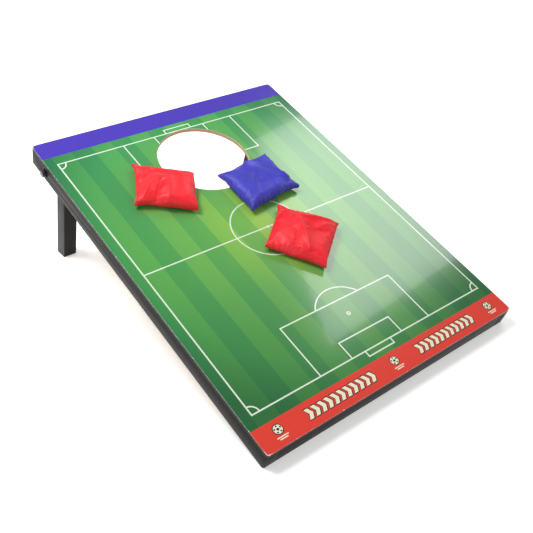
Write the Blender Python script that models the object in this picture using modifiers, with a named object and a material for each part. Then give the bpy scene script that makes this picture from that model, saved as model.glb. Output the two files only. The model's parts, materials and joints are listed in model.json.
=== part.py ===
"""Cornhole board: a framed deck with a printed film, two folding legs and three bean bags.

Frame: +X is right, +Y is the raised rear end, +Z is up, and the floor is Z = 0.
Every piece is first placed in the deck's own frame (origin at the middle of the deck's top face,
X right, Y to the rear, Z out of the deck) and is parented to one empty, which tilts the deck.
"""
import math

import bmesh
import bpy
from mathutils import Matrix, Vector

MM = 0.001
GAP = 0.3 * MM                                   # between pieces that touch
CUT_OVERSHOOT = 2.0 * MM                         # how far a cutter runs past the face it opens
SHARP_ANGLE = math.radians(35.0)                 # edges that turn more than this are shaded sharp

# Deck
TILT = math.radians(18.0)
DECK_WIDTH = 460.0 * MM
DECK_LENGTH = 600.0 * MM
SIDE_HEIGHT = 31.0 * MM                          # film, panel and rails together
FILM_THICKNESS = 0.4 * MM
PANEL_THICKNESS = 5.5 * MM
CORNER_RADIUS = 3.0 * MM
HOLE_RADIUS = 75.0 * MM
HOLE_CENTRE_Y = 171.0 * MM
HOLE_SIDES = 96

# Rails
RAIL_WIDTH = 20.0 * MM
RAIL_EDGE = 0.8 * MM
FLOOR_TRIM = 0.8 * MM                            # depth of the flat that rests on the floor

# Legs and the blocks they lean on
LEG_WIDTH = 22.0 * MM
LEG_DEPTH = 24.0 * MM
LEG_EDGE = 1.0 * MM
LEG_TOP_STEPS = 16
SPACER_THICKNESS = 5.0 * MM
PIVOT_Y = 257.0 * MM
PIVOT_DEPTH = 18.8 * MM                          # below the deck's top face
STOP_LENGTH = 50.0 * MM
STOP_HEIGHT = 22.0 * MM
POST_SIZE = 16.0 * MM
POST_HEIGHT = 20.0 * MM

# Pivot hardware, for an M6 hex bolt
BOLT_RADIUS = 3.0 * MM
BOLT_LENGTH = 60.0 * MM
HEX_ACROSS_FLATS = 10.0 * MM
BOLT_HEAD_HEIGHT = 4.0 * MM
WASHER_RADIUS = 6.5 * MM
WASHER_THICKNESS = 1.2 * MM
SPACER_RADIUS = 8.0 * MM
NUT_HEIGHT = 5.0 * MM
NUT_COLLAR_HEIGHT = 1.6 * MM
NUT_COLLAR_RADIUS = 4.4 * MM
ROUND_SIDES = 32

# Wood screws
SCREW_RADIUS = 1.75 * MM
SCREW_HEAD_RADIUS = 3.5 * MM
SCREW_HEAD_DEPTH = 2.0 * MM
SCREW_TIP = 3.0 * MM
SCREW_SIDES = 12
PANEL_SCREW_LENGTH = 18.0 * MM
BLOCK_SCREW_LENGTH = 25.0 * MM
SIDE_SCREW_YS = (-200.0 * MM, 0.0, 200.0 * MM)
END_SCREW_XS = (-110.0 * MM, 110.0 * MM)
BLOCK_SCREW_DEPTHS = (12.0 * MM, 21.0 * MM)      # below the deck's top face

# Bean bags: name, centre in the deck's frame, turn, sides and colour
BAG_RISE = 12.0 * MM                             # seam to crown
BAG_DROP = 10.0 * MM                             # seam to the face the bag lies on
BAG_SEAM = 2.5 * MM
RED = (0.86, 0.03, 0.04)
BLUE = (0.07, 0.06, 0.50)
BAGS = (
    ("bean_bag_red_left", (-99.5 * MM, 129.1 * MM), -31.0, (94.0 * MM, 89.0 * MM), RED),
    ("bean_bag_blue", (43.0 * MM, 82.0 * MM), 4.3, (104.0 * MM, 89.0 * MM), BLUE),
    ("bean_bag_red_right", (30.3 * MM, -43.1 * MM), 39.4, (101.0 * MM, 93.0 * MM), RED),
)

# Worked out from the above
HALF_WIDTH = DECK_WIDTH / 2.0
HALF_LENGTH = DECK_LENGTH / 2.0
PANEL_TOP = -(FILM_THICKNESS + GAP)
PANEL_BOTTOM = PANEL_TOP - PANEL_THICKNESS
RAIL_TOP = PANEL_BOTTOM - GAP
INNER_X = HALF_WIDTH - RAIL_WIDTH
INNER_Y = HALF_LENGTH - RAIL_WIDTH
STOP_THICKNESS = INNER_Y - 2.0 * GAP - (PIVOT_Y + LEG_DEPTH / 2.0)
LEG_INNER_X = INNER_X - SPACER_THICKNESS - 2.0 * GAP - LEG_WIDTH
DECK_RISE = HALF_LENGTH * math.sin(TILT) + SIDE_HEIGHT * math.cos(TILT) - FLOOR_TRIM


def floor_in_deck(deck_y):
    """Deck-frame height of the floor under a given deck-frame Y."""
    return -(DECK_RISE + deck_y * math.sin(TILT)) / math.cos(TILT)


def deck_shift():
    """World Y of the deck's origin that centres the whole board on Y = 0."""
    foot_y = PIVOT_Y + LEG_DEPTH / 2.0
    rear = foot_y * math.cos(TILT) - floor_in_deck(foot_y) * math.sin(TILT)
    front = -HALF_LENGTH * math.cos(TILT)
    return -(front + rear) / 2.0


def clear_scene():
    for item in list(bpy.data.objects):
        bpy.data.objects.remove(item)


def new_collection(name):
    collection = bpy.data.collections.new(name)
    bpy.context.scene.collection.children.link(collection)
    return collection


def new_material(name, colour, roughness, metallic=0.0):
    material = bpy.data.materials.new(name)
    material.use_nodes = True
    shader = material.node_tree.nodes["Principled BSDF"]
    shader.inputs["Base Color"].default_value = (*colour, 1.0)
    shader.inputs["Roughness"].default_value = roughness
    shader.inputs["Metallic"].default_value = metallic
    return material


clear_scene()
BOARD = new_collection("cornhole_board")
CUTTERS = new_collection("cutters")
DECK = bpy.data.objects.new("deck_frame", None)
DECK.location = (0.0, deck_shift(), DECK_RISE)
DECK.rotation_euler = (TILT, 0.0, 0.0)
BOARD.objects.link(DECK)

FILM = new_material("printed_vinyl", (0.10, 0.36, 0.12), 0.15)
MDF = new_material("mdf", (0.46, 0.29, 0.15), 0.75)
PAINT = new_material("black_paint", (0.035, 0.032, 0.034), 0.40)
BLACKED_STEEL = new_material("blacked_steel", (0.05, 0.05, 0.055), 0.35, 1.0)
ZINC = new_material("zinc_plated_steel", (0.62, 0.62, 0.60), 0.30, 1.0)
NYLON = new_material("nylon", (0.04, 0.04, 0.04), 0.50)


def place(name, mesh, material, location=(0.0, 0.0, 0.0), rotation=(0.0, 0.0, 0.0), cutter=False):
    """One object in the deck's frame, as a part or as a cutter."""
    item = bpy.data.objects.new(name, mesh)
    item.parent = DECK
    item.location = location
    item.rotation_euler = rotation
    if cutter:
        CUTTERS.objects.link(item)
        item.hide_render = True
        item.display_type = "WIRE"
        return item
    BOARD.objects.link(item)
    mesh.materials.clear()
    mesh.materials.append(material)
    mesh.shade_smooth()
    mesh.set_sharp_from_angle(angle=SHARP_ANGLE)
    return item


def mesh_of(bm, name):
    bmesh.ops.recalc_face_normals(bm, faces=bm.faces)
    mesh = bpy.data.meshes.new(name)
    bm.to_mesh(mesh)
    bm.free()
    return mesh


def box_mesh(name, low, high, upright_radius=0.0, rounded=None):
    """A box between two corners, with the upright edges that pass the test rounded."""
    bm = bmesh.new()
    size = Vector(high) - Vector(low)
    middle = (Vector(high) + Vector(low)) / 2.0
    bmesh.ops.create_cube(bm, size=1.0, matrix=Matrix.Translation(middle) @ Matrix.Diagonal((*size, 1.0)))
    if upright_radius > 0.0:
        upright = [e for e in bm.edges if is_upright(e) and (rounded is None or rounded(e.verts[0].co))]
        bmesh.ops.bevel(bm, geom=upright, offset=upright_radius, segments=4, profile=0.5, affect="EDGES")
    return mesh_of(bm, name)


def is_upright(edge):
    along = edge.verts[0].co - edge.verts[1].co
    return abs(along.x) < GAP and abs(along.y) < GAP


def turned_mesh(name, profile, sides, closed=False):
    """Turn a profile of (radius, height) points about Z with a Screw modifier."""
    bm = bmesh.new()
    points = [bm.verts.new((radius, 0.0, height)) for radius, height in profile]
    for first, second in zip(points, points[1:]):
        bm.edges.new((first, second))
    if closed:
        bm.edges.new((points[-1], points[0]))
    mesh = bpy.data.meshes.new(name)
    bm.to_mesh(mesh)
    bm.free()
    blank = bpy.data.objects.new(name, mesh)
    CUTTERS.objects.link(blank)
    screw = blank.modifiers.new("turn", "SCREW")
    screw.steps = sides
    screw.render_steps = sides
    screw.use_merge_vertices = True
    screw.merge_threshold = 0.00001
    screw.use_smooth_shade = False
    return baked(blank)


def baked(blank):
    """The evaluated mesh of a helper object, which is then removed."""
    bpy.context.view_layer.update()
    evaluated = blank.evaluated_get(bpy.context.evaluated_depsgraph_get())
    mesh = bpy.data.meshes.new_from_object(evaluated)
    bpy.data.objects.remove(blank)
    bm = bmesh.new()
    bm.from_mesh(mesh)
    bmesh.ops.remove_doubles(bm, verts=bm.verts, dist=0.00001)
    bmesh.ops.recalc_face_normals(bm, faces=bm.faces)
    bm.to_mesh(mesh)
    bm.free()
    return mesh


def outline_mesh(name, points, thickness):
    """Extrude a flat outline, given in the YZ plane, along X."""
    curve = bpy.data.curves.new(name, "CURVE")
    curve.dimensions = "2D"
    curve.fill_mode = "BOTH"
    curve.extrude = thickness / 2.0
    spline = curve.splines.new("POLY")
    spline.points.add(len(points) - 1)
    for point, (across, up) in zip(spline.points, points):
        point.co = (across, up, 0.0, 1.0)
    spline.use_cyclic_u = True
    blank = bpy.data.objects.new(name, curve)
    CUTTERS.objects.link(blank)
    mesh = baked(blank)
    mesh.transform(Matrix(((0, 0, 1, 0), (1, 0, 0, 0), (0, 1, 0, 0), (0, 0, 0, 1))))
    return mesh


def stamped_mesh(name, mesh, places):
    """Several copies of one mesh as separate solids of one piece."""
    bm = bmesh.new()
    for matrix in places:
        copy = mesh.copy()
        copy.transform(matrix)
        bm.from_mesh(copy)
    return mesh_of(bm, name)


def cylinder_mesh(name, radius, length, sides=ROUND_SIDES):
    """A cylinder along X, centred on the origin."""
    bm = bmesh.new()
    turn = Matrix.Rotation(math.pi / 2.0, 4, "Y")
    bmesh.ops.create_cone(bm, cap_ends=True, segments=sides, radius1=radius, radius2=radius,
                          depth=length, matrix=turn)
    return mesh_of(bm, name)


def boolean(item, other, operation="DIFFERENCE"):
    modifier = item.modifiers.new(other.name, "BOOLEAN")
    modifier.operation = operation
    modifier.solver = "EXACT"
    modifier.object = other


def bevel(item, width, segments=2):
    modifier = item.modifiers.new("edges", "BEVEL")
    modifier.width = width
    modifier.segments = segments
    modifier.limit_method = "ANGLE"
    modifier.angle_limit = math.radians(50.0)


def screw_mesh(length):
    profile = ((0.0, 0.0), (SCREW_HEAD_RADIUS, 0.0), (SCREW_RADIUS, -SCREW_HEAD_DEPTH),
               (SCREW_RADIUS, SCREW_TIP - length), (0.0, -length))
    return turned_mesh("screw", profile, SCREW_SIDES)


def screw_hole_mesh(length):
    """The screw with a gap all round, open above its head."""
    head = SCREW_HEAD_RADIUS + GAP
    shank = SCREW_RADIUS + GAP
    profile = ((0.0, CUT_OVERSHOOT), (head, CUT_OVERSHOOT), (head, 0.0), (shank, -SCREW_HEAD_DEPTH),
               (shank, SCREW_TIP - length), (0.0, -length - GAP))
    return turned_mesh("screw_hole", profile, SCREW_SIDES)


def panel_screw_places():
    """Screws that go straight down through the panel, along the middle of each rail."""
    side_x = HALF_WIDTH - RAIL_WIDTH / 2.0
    end_y = HALF_LENGTH - RAIL_WIDTH / 2.0
    spots = [(side * side_x, y) for side in (-1.0, 1.0) for y in SIDE_SCREW_YS]
    spots += [(x, end * end_y) for end in (-1.0, 1.0) for x in END_SCREW_XS]
    return [Matrix.Translation((x, y, PANEL_TOP - GAP)) for x, y in spots]


def post_corner(side):
    """Inner faces of a front post, as signed X and Y."""
    return side * (INNER_X - GAP - POST_SIZE), -(INNER_Y - GAP - POST_SIZE)


def block_screw_places():
    """Level screws: from each post into two rails, and from each leg stop into the rear rail."""
    upper, lower = BLOCK_SCREW_DEPTHS
    places = []
    for side in (-1.0, 1.0):
        post_x, post_y = post_corner(side)
        outward = Matrix.Rotation(-side * math.pi / 2.0, 4, "Y")
        forward = Matrix.Rotation(-math.pi / 2.0, 4, "X")
        rearward = Matrix.Rotation(math.pi / 2.0, 4, "X")
        middle_y = post_y - POST_SIZE / 2.0
        middle_x = post_x + side * POST_SIZE / 2.0
        stop_x = side * (INNER_X - GAP - STOP_LENGTH + POST_SIZE / 2.0)
        stop_y = INNER_Y - GAP - STOP_THICKNESS
        places.append(Matrix.Translation((post_x + side * GAP, middle_y, -upper)) @ outward)
        places.append(Matrix.Translation((middle_x, post_y - GAP, -lower)) @ forward)
        places.append(Matrix.Translation((stop_x, stop_y + GAP, -upper)) @ rearward)
        places.append(Matrix.Translation((stop_x, stop_y + GAP, -lower)) @ rearward)
    return places


def make_cutters():
    """Every tool that cuts more than one piece."""
    panel_hole = stamped_mesh("panel_screw_holes", screw_hole_mesh(PANEL_SCREW_LENGTH), panel_screw_places())
    block_hole = stamped_mesh("block_screw_holes", screw_hole_mesh(BLOCK_SCREW_LENGTH), block_screw_places())
    pivot = cylinder_mesh("pivot_hole", BOLT_RADIUS + GAP, DECK_WIDTH + 2.0 * CUT_OVERSHOOT)
    board_hole = cylinder_mesh("board_hole", HOLE_RADIUS, SIDE_HEIGHT, HOLE_SIDES)
    floor = box_mesh("floor", (-1.0, -1.0, -1.0), (1.0, 1.0, 0.0))
    cutters = {
        "panel_screws": place("panel_screw_holes", panel_hole, None, cutter=True),
        "block_screws": place("block_screw_holes", block_hole, None, cutter=True),
        "pivot": place("pivot_hole", pivot, None, (0.0, PIVOT_Y, -PIVOT_DEPTH), cutter=True),
        "hole": place("board_hole", board_hole, None, (0.0, HOLE_CENTRE_Y, 0.0),
                      (0.0, math.pi / 2.0, 0.0), cutter=True),
        "floor": place("floor", floor, None, cutter=True),
    }
    cutters["floor"].parent = None
    return cutters


def make_deck(cut):
    """The MDF panel and the printed film on it, with one round hole through both."""
    film = box_mesh("printed_film", (-HALF_WIDTH, -HALF_LENGTH, -FILM_THICKNESS),
                    (HALF_WIDTH, HALF_LENGTH, 0.0), CORNER_RADIUS)
    boolean(place("printed_film", film, FILM), cut["hole"])
    panel = box_mesh("top_panel", (-HALF_WIDTH, -HALF_LENGTH, PANEL_BOTTOM),
                     (HALF_WIDTH, HALF_LENGTH, PANEL_TOP), CORNER_RADIUS)
    top_panel = place("top_panel", panel, MDF)
    boolean(top_panel, cut["hole"])
    boolean(top_panel, cut["panel_screws"])


def make_side_rail(name, side, cut):
    """A full-length rail with its two outer corners rounded."""
    x_range = sorted((side * INNER_X, side * HALF_WIDTH))
    mesh = box_mesh(name, (x_range[0], -HALF_LENGTH, -SIDE_HEIGHT), (x_range[1], HALF_LENGTH, RAIL_TOP),
                    CORNER_RADIUS, lambda corner: abs(corner.x) > INNER_X + GAP)
    rail = place(name, mesh, PAINT)
    bevel(rail, RAIL_EDGE)
    for tool in ("panel_screws", "block_screws", "pivot", "floor"):
        boolean(rail, cut[tool])


def make_end_rail(name, end, cut):
    """A rail that fits between the two side rails."""
    y_range = sorted((end * INNER_Y, end * HALF_LENGTH))
    half = INNER_X - GAP
    mesh = box_mesh(name, (-half, y_range[0], -SIDE_HEIGHT), (half, y_range[1], RAIL_TOP))
    rail = place(name, mesh, PAINT)
    bevel(rail, RAIL_EDGE)
    for tool in ("panel_screws", "block_screws", "floor"):
        boolean(rail, cut[tool])


def make_post(name, side, cut):
    """A square block that ties the front rail to a side rail."""
    inner_x, inner_y = post_corner(side)
    x_range = sorted((inner_x, side * (INNER_X - GAP)))
    mesh = box_mesh(name, (x_range[0], -(INNER_Y - GAP), RAIL_TOP - POST_HEIGHT),
                    (x_range[1], inner_y, RAIL_TOP))
    boolean(place(name, mesh, MDF), cut["block_screws"])


def make_leg_stop(name, side, cut):
    """A block on the rear rail that the open leg leans back on."""
    x_range = sorted((side * (INNER_X - GAP), side * (INNER_X - GAP - STOP_LENGTH)))
    rear = INNER_Y - GAP
    mesh = box_mesh(name, (x_range[0], rear - STOP_THICKNESS, RAIL_TOP - STOP_HEIGHT),
                    (x_range[1], rear, RAIL_TOP))
    boolean(place(name, mesh, MDF), cut["block_screws"])


def make_leg(name, side, cut):
    """A square leg, rounded about its pivot and sawn parallel to the floor."""
    half = LEG_DEPTH / 2.0
    steps = range(LEG_TOP_STEPS + 1)
    arc = [math.pi * step / LEG_TOP_STEPS for step in steps]
    below_floor = floor_in_deck(PIVOT_Y + half) + PIVOT_DEPTH - CUT_OVERSHOOT
    points = [(half * math.cos(angle), half * math.sin(angle)) for angle in arc]
    points += [(-half, below_floor), (half, below_floor)]
    middle_x = side * (LEG_INNER_X + LEG_WIDTH / 2.0)
    leg = place(name, outline_mesh(name, points, LEG_WIDTH), PAINT, (middle_x, PIVOT_Y, -PIVOT_DEPTH))
    bevel(leg, LEG_EDGE)
    boolean(leg, cut["pivot"])
    boolean(leg, cut["floor"])


def ring_mesh(name, inner, outer, thickness):
    """A flat ring about X, centred on the origin."""
    half = thickness / 2.0
    profile = ((outer, half), (outer, -half), (inner, -half), (inner, half))
    mesh = turned_mesh(name, profile, ROUND_SIDES, closed=True)
    mesh.transform(Matrix.Rotation(math.pi / 2.0, 4, "Y"))
    return mesh


def hex_mesh(name, height):
    """A hexagonal prism about X, with two of its flats level."""
    return cylinder_mesh(name, HEX_ACROSS_FLATS / 2.0 / math.cos(math.pi / 6.0), height, 6)


def make_bolt(name, side, head_x, pivot):
    """A hex bolt, its head outside the side rail."""
    head = place(name, hex_mesh(name, BOLT_HEAD_HEIGHT), BLACKED_STEEL, (side * head_x, *pivot))
    length = BOLT_LENGTH + BOLT_HEAD_HEIGHT / 2.0
    shank_x = side * (head_x - length / 2.0)
    mesh = cylinder_mesh(name + "_shank", BOLT_RADIUS, length)
    boolean(head, place(name + "_shank", mesh, None, (shank_x, *pivot), cutter=True), "UNION")


def make_nut(name, side, nut_x, pivot):
    """A lock nut with its round nylon collar, bored for the bolt."""
    nut = place(name, hex_mesh(name, NUT_HEIGHT), ZINC, (side * nut_x, *pivot))
    collar_length = NUT_HEIGHT / 2.0 + NUT_COLLAR_HEIGHT
    collar = cylinder_mesh(name + "_collar", NUT_COLLAR_RADIUS, collar_length)
    collar_x = side * (nut_x - collar_length / 2.0)
    boolean(nut, place(name + "_collar", collar, None, (collar_x, *pivot), cutter=True), "UNION")
    bore = cylinder_mesh(name + "_bore", BOLT_RADIUS + GAP, NUT_HEIGHT * 4.0)
    boolean(nut, place(name + "_bore", bore, None, (side * nut_x, *pivot), cutter=True))


def make_pivot(hand, side):
    """The bolt, washers, spacer and nut of one leg, from the outside in."""
    pivot = (PIVOT_Y, -PIVOT_DEPTH)
    bore = BOLT_RADIUS + GAP
    head_x = HALF_WIDTH + GAP + WASHER_THICKNESS + GAP + BOLT_HEAD_HEIGHT / 2.0
    outer_x = HALF_WIDTH + GAP + WASHER_THICKNESS / 2.0
    spacer_x = INNER_X - GAP - SPACER_THICKNESS / 2.0
    inner_x = LEG_INNER_X - GAP - WASHER_THICKNESS / 2.0
    nut_x = LEG_INNER_X - 2.0 * GAP - WASHER_THICKNESS - NUT_HEIGHT / 2.0
    make_bolt(hand + "_pivot_bolt", side, head_x, pivot)
    make_nut(hand + "_lock_nut", side, nut_x, pivot)
    washer = ring_mesh(hand + "_outer_washer", bore, WASHER_RADIUS, WASHER_THICKNESS)
    place(hand + "_outer_washer", washer, BLACKED_STEEL, (side * outer_x, *pivot))
    spacer = ring_mesh(hand + "_leg_spacer", bore, SPACER_RADIUS, SPACER_THICKNESS)
    place(hand + "_leg_spacer", spacer, NYLON, (side * spacer_x, *pivot))
    washer = ring_mesh(hand + "_inner_washer", bore, WASHER_RADIUS, WASHER_THICKNESS)
    place(hand + "_inner_washer", washer, ZINC, (side * inner_x, *pivot))


def make_screws(name, length, places):
    """Countersunk screws that share one mesh."""
    mesh = screw_mesh(length)
    for number, matrix in enumerate(places, start=1):
        place(f"{name}_{number:02d}", mesh, ZINC, matrix.to_translation(), matrix.to_euler())


def make_bag(name, centre, turn, sides, colour):
    """A flat pillow: a gridded cage pinched at its seam, then subdivided."""
    bm = bmesh.new()
    bmesh.ops.create_cube(bm, size=2.0)
    bmesh.ops.subdivide_edges(bm, edges=bm.edges, cuts=3, use_grid_fill=True)
    for vert in bm.verts:
        on_seam = max(abs(vert.co.x), abs(vert.co.y)) > 0.99
        height = BAG_RISE if vert.co.z > 0.0 else BAG_DROP
        vert.co.z *= BAG_SEAM / 2.0 if on_seam else height
        vert.co.x *= sides[0] / 2.0
        vert.co.y *= sides[1] / 2.0
    cloth = new_material(name + "_nylon", colour, 0.35)
    location = (*centre, BAG_DROP + GAP)
    bag = place(name, mesh_of(bm, name), cloth, location, (0.0, 0.0, math.radians(turn)))
    smooth = bag.modifiers.new("soft", "SUBSURF")
    smooth.levels = 1
    smooth.render_levels = 1


def main():
    cut = make_cutters()
    make_deck(cut)
    for hand, side in (("left", -1.0), ("right", 1.0)):
        make_side_rail(hand + "_side_rail", side, cut)
        make_post("front_" + hand + "_post", side, cut)
        make_leg_stop(hand + "_leg_stop", side, cut)
        make_leg(hand + "_leg", side, cut)
        make_pivot(hand, side)
    make_end_rail("front_rail", -1.0, cut)
    make_end_rail("rear_rail", 1.0, cut)
    make_screws("panel_screw", PANEL_SCREW_LENGTH, panel_screw_places())
    make_screws("block_screw", BLOCK_SCREW_LENGTH, block_screw_places())
    for bag in BAGS:
        make_bag(*bag)


main()
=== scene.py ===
"""Looks of the cornhole board: printed deck, painted frame, folding legs, hardware and bean bags."""

import json
import logging
import math
from dataclasses import dataclass
from enum import Enum
from typing import Callable, Iterable

import bpy
from mathutils import Matrix, Vector, noise

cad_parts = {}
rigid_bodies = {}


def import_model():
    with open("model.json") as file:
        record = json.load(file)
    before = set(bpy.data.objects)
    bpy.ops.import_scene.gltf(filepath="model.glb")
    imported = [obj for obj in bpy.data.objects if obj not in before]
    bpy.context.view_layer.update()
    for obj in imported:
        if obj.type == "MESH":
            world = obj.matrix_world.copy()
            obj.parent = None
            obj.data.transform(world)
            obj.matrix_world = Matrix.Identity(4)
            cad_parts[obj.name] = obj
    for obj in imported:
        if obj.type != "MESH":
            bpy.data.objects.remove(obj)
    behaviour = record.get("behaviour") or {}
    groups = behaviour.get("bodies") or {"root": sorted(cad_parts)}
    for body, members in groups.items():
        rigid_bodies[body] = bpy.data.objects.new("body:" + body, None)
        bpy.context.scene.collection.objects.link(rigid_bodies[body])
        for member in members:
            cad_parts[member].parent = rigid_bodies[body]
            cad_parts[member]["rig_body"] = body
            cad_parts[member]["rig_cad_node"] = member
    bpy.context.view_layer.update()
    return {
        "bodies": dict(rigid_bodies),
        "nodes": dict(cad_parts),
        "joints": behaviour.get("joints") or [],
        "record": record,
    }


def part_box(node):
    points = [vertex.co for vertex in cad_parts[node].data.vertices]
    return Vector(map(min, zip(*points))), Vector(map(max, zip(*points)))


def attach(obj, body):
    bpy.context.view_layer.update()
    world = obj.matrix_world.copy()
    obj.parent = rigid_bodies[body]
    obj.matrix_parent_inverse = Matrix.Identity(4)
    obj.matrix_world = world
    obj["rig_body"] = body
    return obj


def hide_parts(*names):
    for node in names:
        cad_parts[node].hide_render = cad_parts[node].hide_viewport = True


LOG = logging.getLogger("cornhole_board")
MM = 0.001
FILM_THICKNESS = 0.4 * MM
FULL_TURN = 2.0 * math.pi
QUARTER_TURN = math.pi / 2.0
MERGE_GAP = 0.001 * MM

Point = tuple[float, float, float]
Colour = tuple[float, float, float, float]

AXIS_X: Point = (1.0, 0.0, 0.0)
AXIS_Y: Point = (0.0, 1.0, 0.0)
AXIS_Z: Point = (0.0, 0.0, 1.0)
SIGNS = (-1.0, 1.0)

# A wave texture of scale one repeats once in each FULL_TURN / WAVE_RATE of its coordinate.
WAVE_RATE = 20.0
# A Mix node's colour sockets share their names with its number sockets, so they go by number.
MIX_A, MIX_B, MIX_RESULT = 6, 7, 2
MULTIPLIED = {"data_type": "RGBA", "blend_type": "MULTIPLY"}
BLENDED = {"data_type": "RGBA", "blend_type": "MIX"}
# The clear laminate that lies over every ink on the film.
LAMINATE = {"roughness": 0.16, "IOR": 1.5, "Coat_Weight": 0.35, "Coat_Roughness": 0.05}


class Hand(Enum):
    """Which side of the board a leg and its hardware are on, as the sign of X."""

    LEFT = -1.0
    RIGHT = 1.0

    @property
    def prefix(self) -> str:
        """The word that starts the side's CAD node names."""
        return self.name.lower()


class Layer(Enum):
    """Height of each printed layer above the film, in millimetres."""

    MAIN_LINES = 0.06
    ROUND_LINES = 0.07
    OUTLINE = 0.04
    FACE = 0.07
    DETAIL = 0.10


class FilmInk(Enum):
    """The film's inks, as the number of each one's material."""

    PITCH = 0
    RED_BAND = 1
    BLUE_BAND = 2
    CUT_EDGE = 3


# ---------------------------------------------------------------------------
# Workshop helpers


def linear(hex_colour: str) -> Colour:
    """Turn an sRGB hex colour into the linear colour that shaders read.

    Args:
        hex_colour: Six hex digits after a hash sign.

    Returns:
        Linear red, green, blue and an alpha of one.
    """
    channels = [int(hex_colour[i:i + 2], 16) / 255.0 for i in (1, 3, 5)]
    straight = [c / 12.92 if c <= 0.04045 else ((c + 0.055) / 1.055) ** 2.4 for c in channels]
    return (straight[0], straight[1], straight[2], 1.0)


def deselect_all() -> None:
    """Leave nothing selected, so that an operator acts only on its own piece."""
    bpy.ops.object.select_all(action="DESELECT")


def take(item: bpy.types.Object) -> bpy.types.Object:
    """Make one object the only selected and active one, and return it."""
    deselect_all()
    item.select_set(True)
    bpy.context.view_layer.objects.active = item
    return item


def named(item: bpy.types.Object, name: str) -> bpy.types.Object:
    """Name a piece and its mesh alike, and return the piece."""
    item.name = name
    item.data.name = name
    return item


def added(name: str) -> bpy.types.Object:
    """Name the object that an add operator has just made, and return it."""
    return named(bpy.context.active_object, name)


def edit(item: bpy.types.Object, select: bool = True) -> None:
    """Open a piece in edit mode with all or none of it selected.

    Args:
        item: The mesh piece.
        select: Whether all of it is selected.
    """
    take(item)
    bpy.ops.object.mode_set(mode="EDIT")
    bpy.ops.mesh.select_mode(type="VERT")
    bpy.ops.mesh.select_all(action="SELECT" if select else "DESELECT")


def leave_edit() -> None:
    """Go back to object mode."""
    bpy.ops.object.mode_set(mode="OBJECT")


def select_parts(item: bpy.types.Object, mode: str, test: Callable[[Vector], bool]) -> None:
    """Open a piece in edit mode with the vertices, edges or faces selected whose middle passes a test.

    Args:
        item: The mesh piece.
        mode: VERT, EDGE or FACE.
        test: Takes the middle of one element.
    """
    edit(item, select=False)
    bpy.ops.mesh.select_mode(type=mode)
    leave_edit()
    mesh = item.data
    points = [vertex.co for vertex in mesh.vertices]
    if mode == "VERT":
        for vertex in mesh.vertices:
            vertex.select = test(vertex.co)
    elif mode == "EDGE":
        for edge in mesh.edges:
            edge.select = test((points[edge.vertices[0]] + points[edge.vertices[1]]) / 2.0)
    else:
        for face in mesh.polygons:
            face.select = test(face.center)
    bpy.ops.object.mode_set(mode="EDIT")


def apply_modifier(item: bpy.types.Object, kind: str, **settings: object) -> None:
    """Add a modifier, set it and apply it.

    Args:
        item: The piece.
        kind: Blender's name for the modifier type.
        **settings: The modifier's properties.
    """
    take(item)
    modifier = item.modifiers.new(kind.lower(), kind)
    for key, value in settings.items():
        setattr(modifier, key, value)
    bpy.ops.object.modifier_apply(modifier=modifier.name)


def carve(item: bpy.types.Object, tool: bpy.types.Object, operation: str = "DIFFERENCE") -> None:
    """Cut or join a piece with a tool and remove the tool.

    Args:
        item: The piece that stays.
        tool: The piece that is used up.
        operation: DIFFERENCE, UNION or INTERSECT.
    """
    apply_modifier(item, "BOOLEAN", operation=operation, object=tool, solver="EXACT")
    bpy.data.objects.remove(tool)


def join(name: str, items: Iterable[bpy.types.Object]) -> bpy.types.Object:
    """Join pieces into one object and return it.

    Args:
        name: The joined piece's name.
        items: The pieces, of which the first one stays.

    Returns:
        The joined piece.
    """
    chosen = list(items)
    take(chosen[0])
    for item in chosen:
        item.select_set(True)
    bpy.ops.object.join()
    return added(name)


def bake_transform(item: bpy.types.Object) -> bpy.types.Object:
    """Move a piece's place, turn and size into its mesh."""
    take(item)
    bpy.ops.object.transform_apply(location=True, rotation=True, scale=True)
    return item


def outward(item: bpy.types.Object) -> None:
    """Merge doubled vertices and point every face out."""
    edit(item)
    bpy.ops.mesh.remove_doubles(threshold=MERGE_GAP)
    bpy.ops.mesh.normals_make_consistent(inside=False)
    leave_edit()


def raised(item: bpy.types.Object, layer: Layer) -> bpy.types.Object:
    """Raise a flat shape into a closed layer that stands on the film.

    Args:
        item: The flat shape, at height zero.
        layer: How high it is raised.

    Returns:
        The same piece.
    """
    edit(item)
    bpy.ops.mesh.extrude_region_move(TRANSFORM_OT_translate={"value": (0.0, 0.0, layer.value * MM)})
    leave_edit()
    outward(item)
    return item


def smooth(item: bpy.types.Object, degrees: float = 35.0) -> None:
    """Shade a piece smooth except across edges sharper than an angle.

    Args:
        item: The piece.
        degrees: The angle between faces past which an edge stays sharp.
    """
    take(item)
    bpy.ops.object.shade_smooth_by_angle(angle=math.radians(degrees))


def copy_of(item: bpy.types.Object, name: str) -> bpy.types.Object:
    """A copy with its own mesh.

    Args:
        item: The piece to copy.
        name: The copy's name.

    Returns:
        The copy.
    """
    twin = item.copy()
    twin.data = item.data.copy()
    bpy.context.collection.objects.link(twin)
    return named(twin, name)


def box_piece(name: str, low: Vector, high: Vector) -> bpy.types.Object:
    """Add a cube stretched between two corners, with its size in its mesh.

    Args:
        name: The piece's name.
        low: Its lowest corner.
        high: Its highest corner.

    Returns:
        The box.
    """
    deselect_all()
    bpy.ops.mesh.primitive_cube_add(size=1.0, location=(low + high) / 2.0)
    item = added(name)
    item.scale = high - low
    return bake_transform(item)


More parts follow.
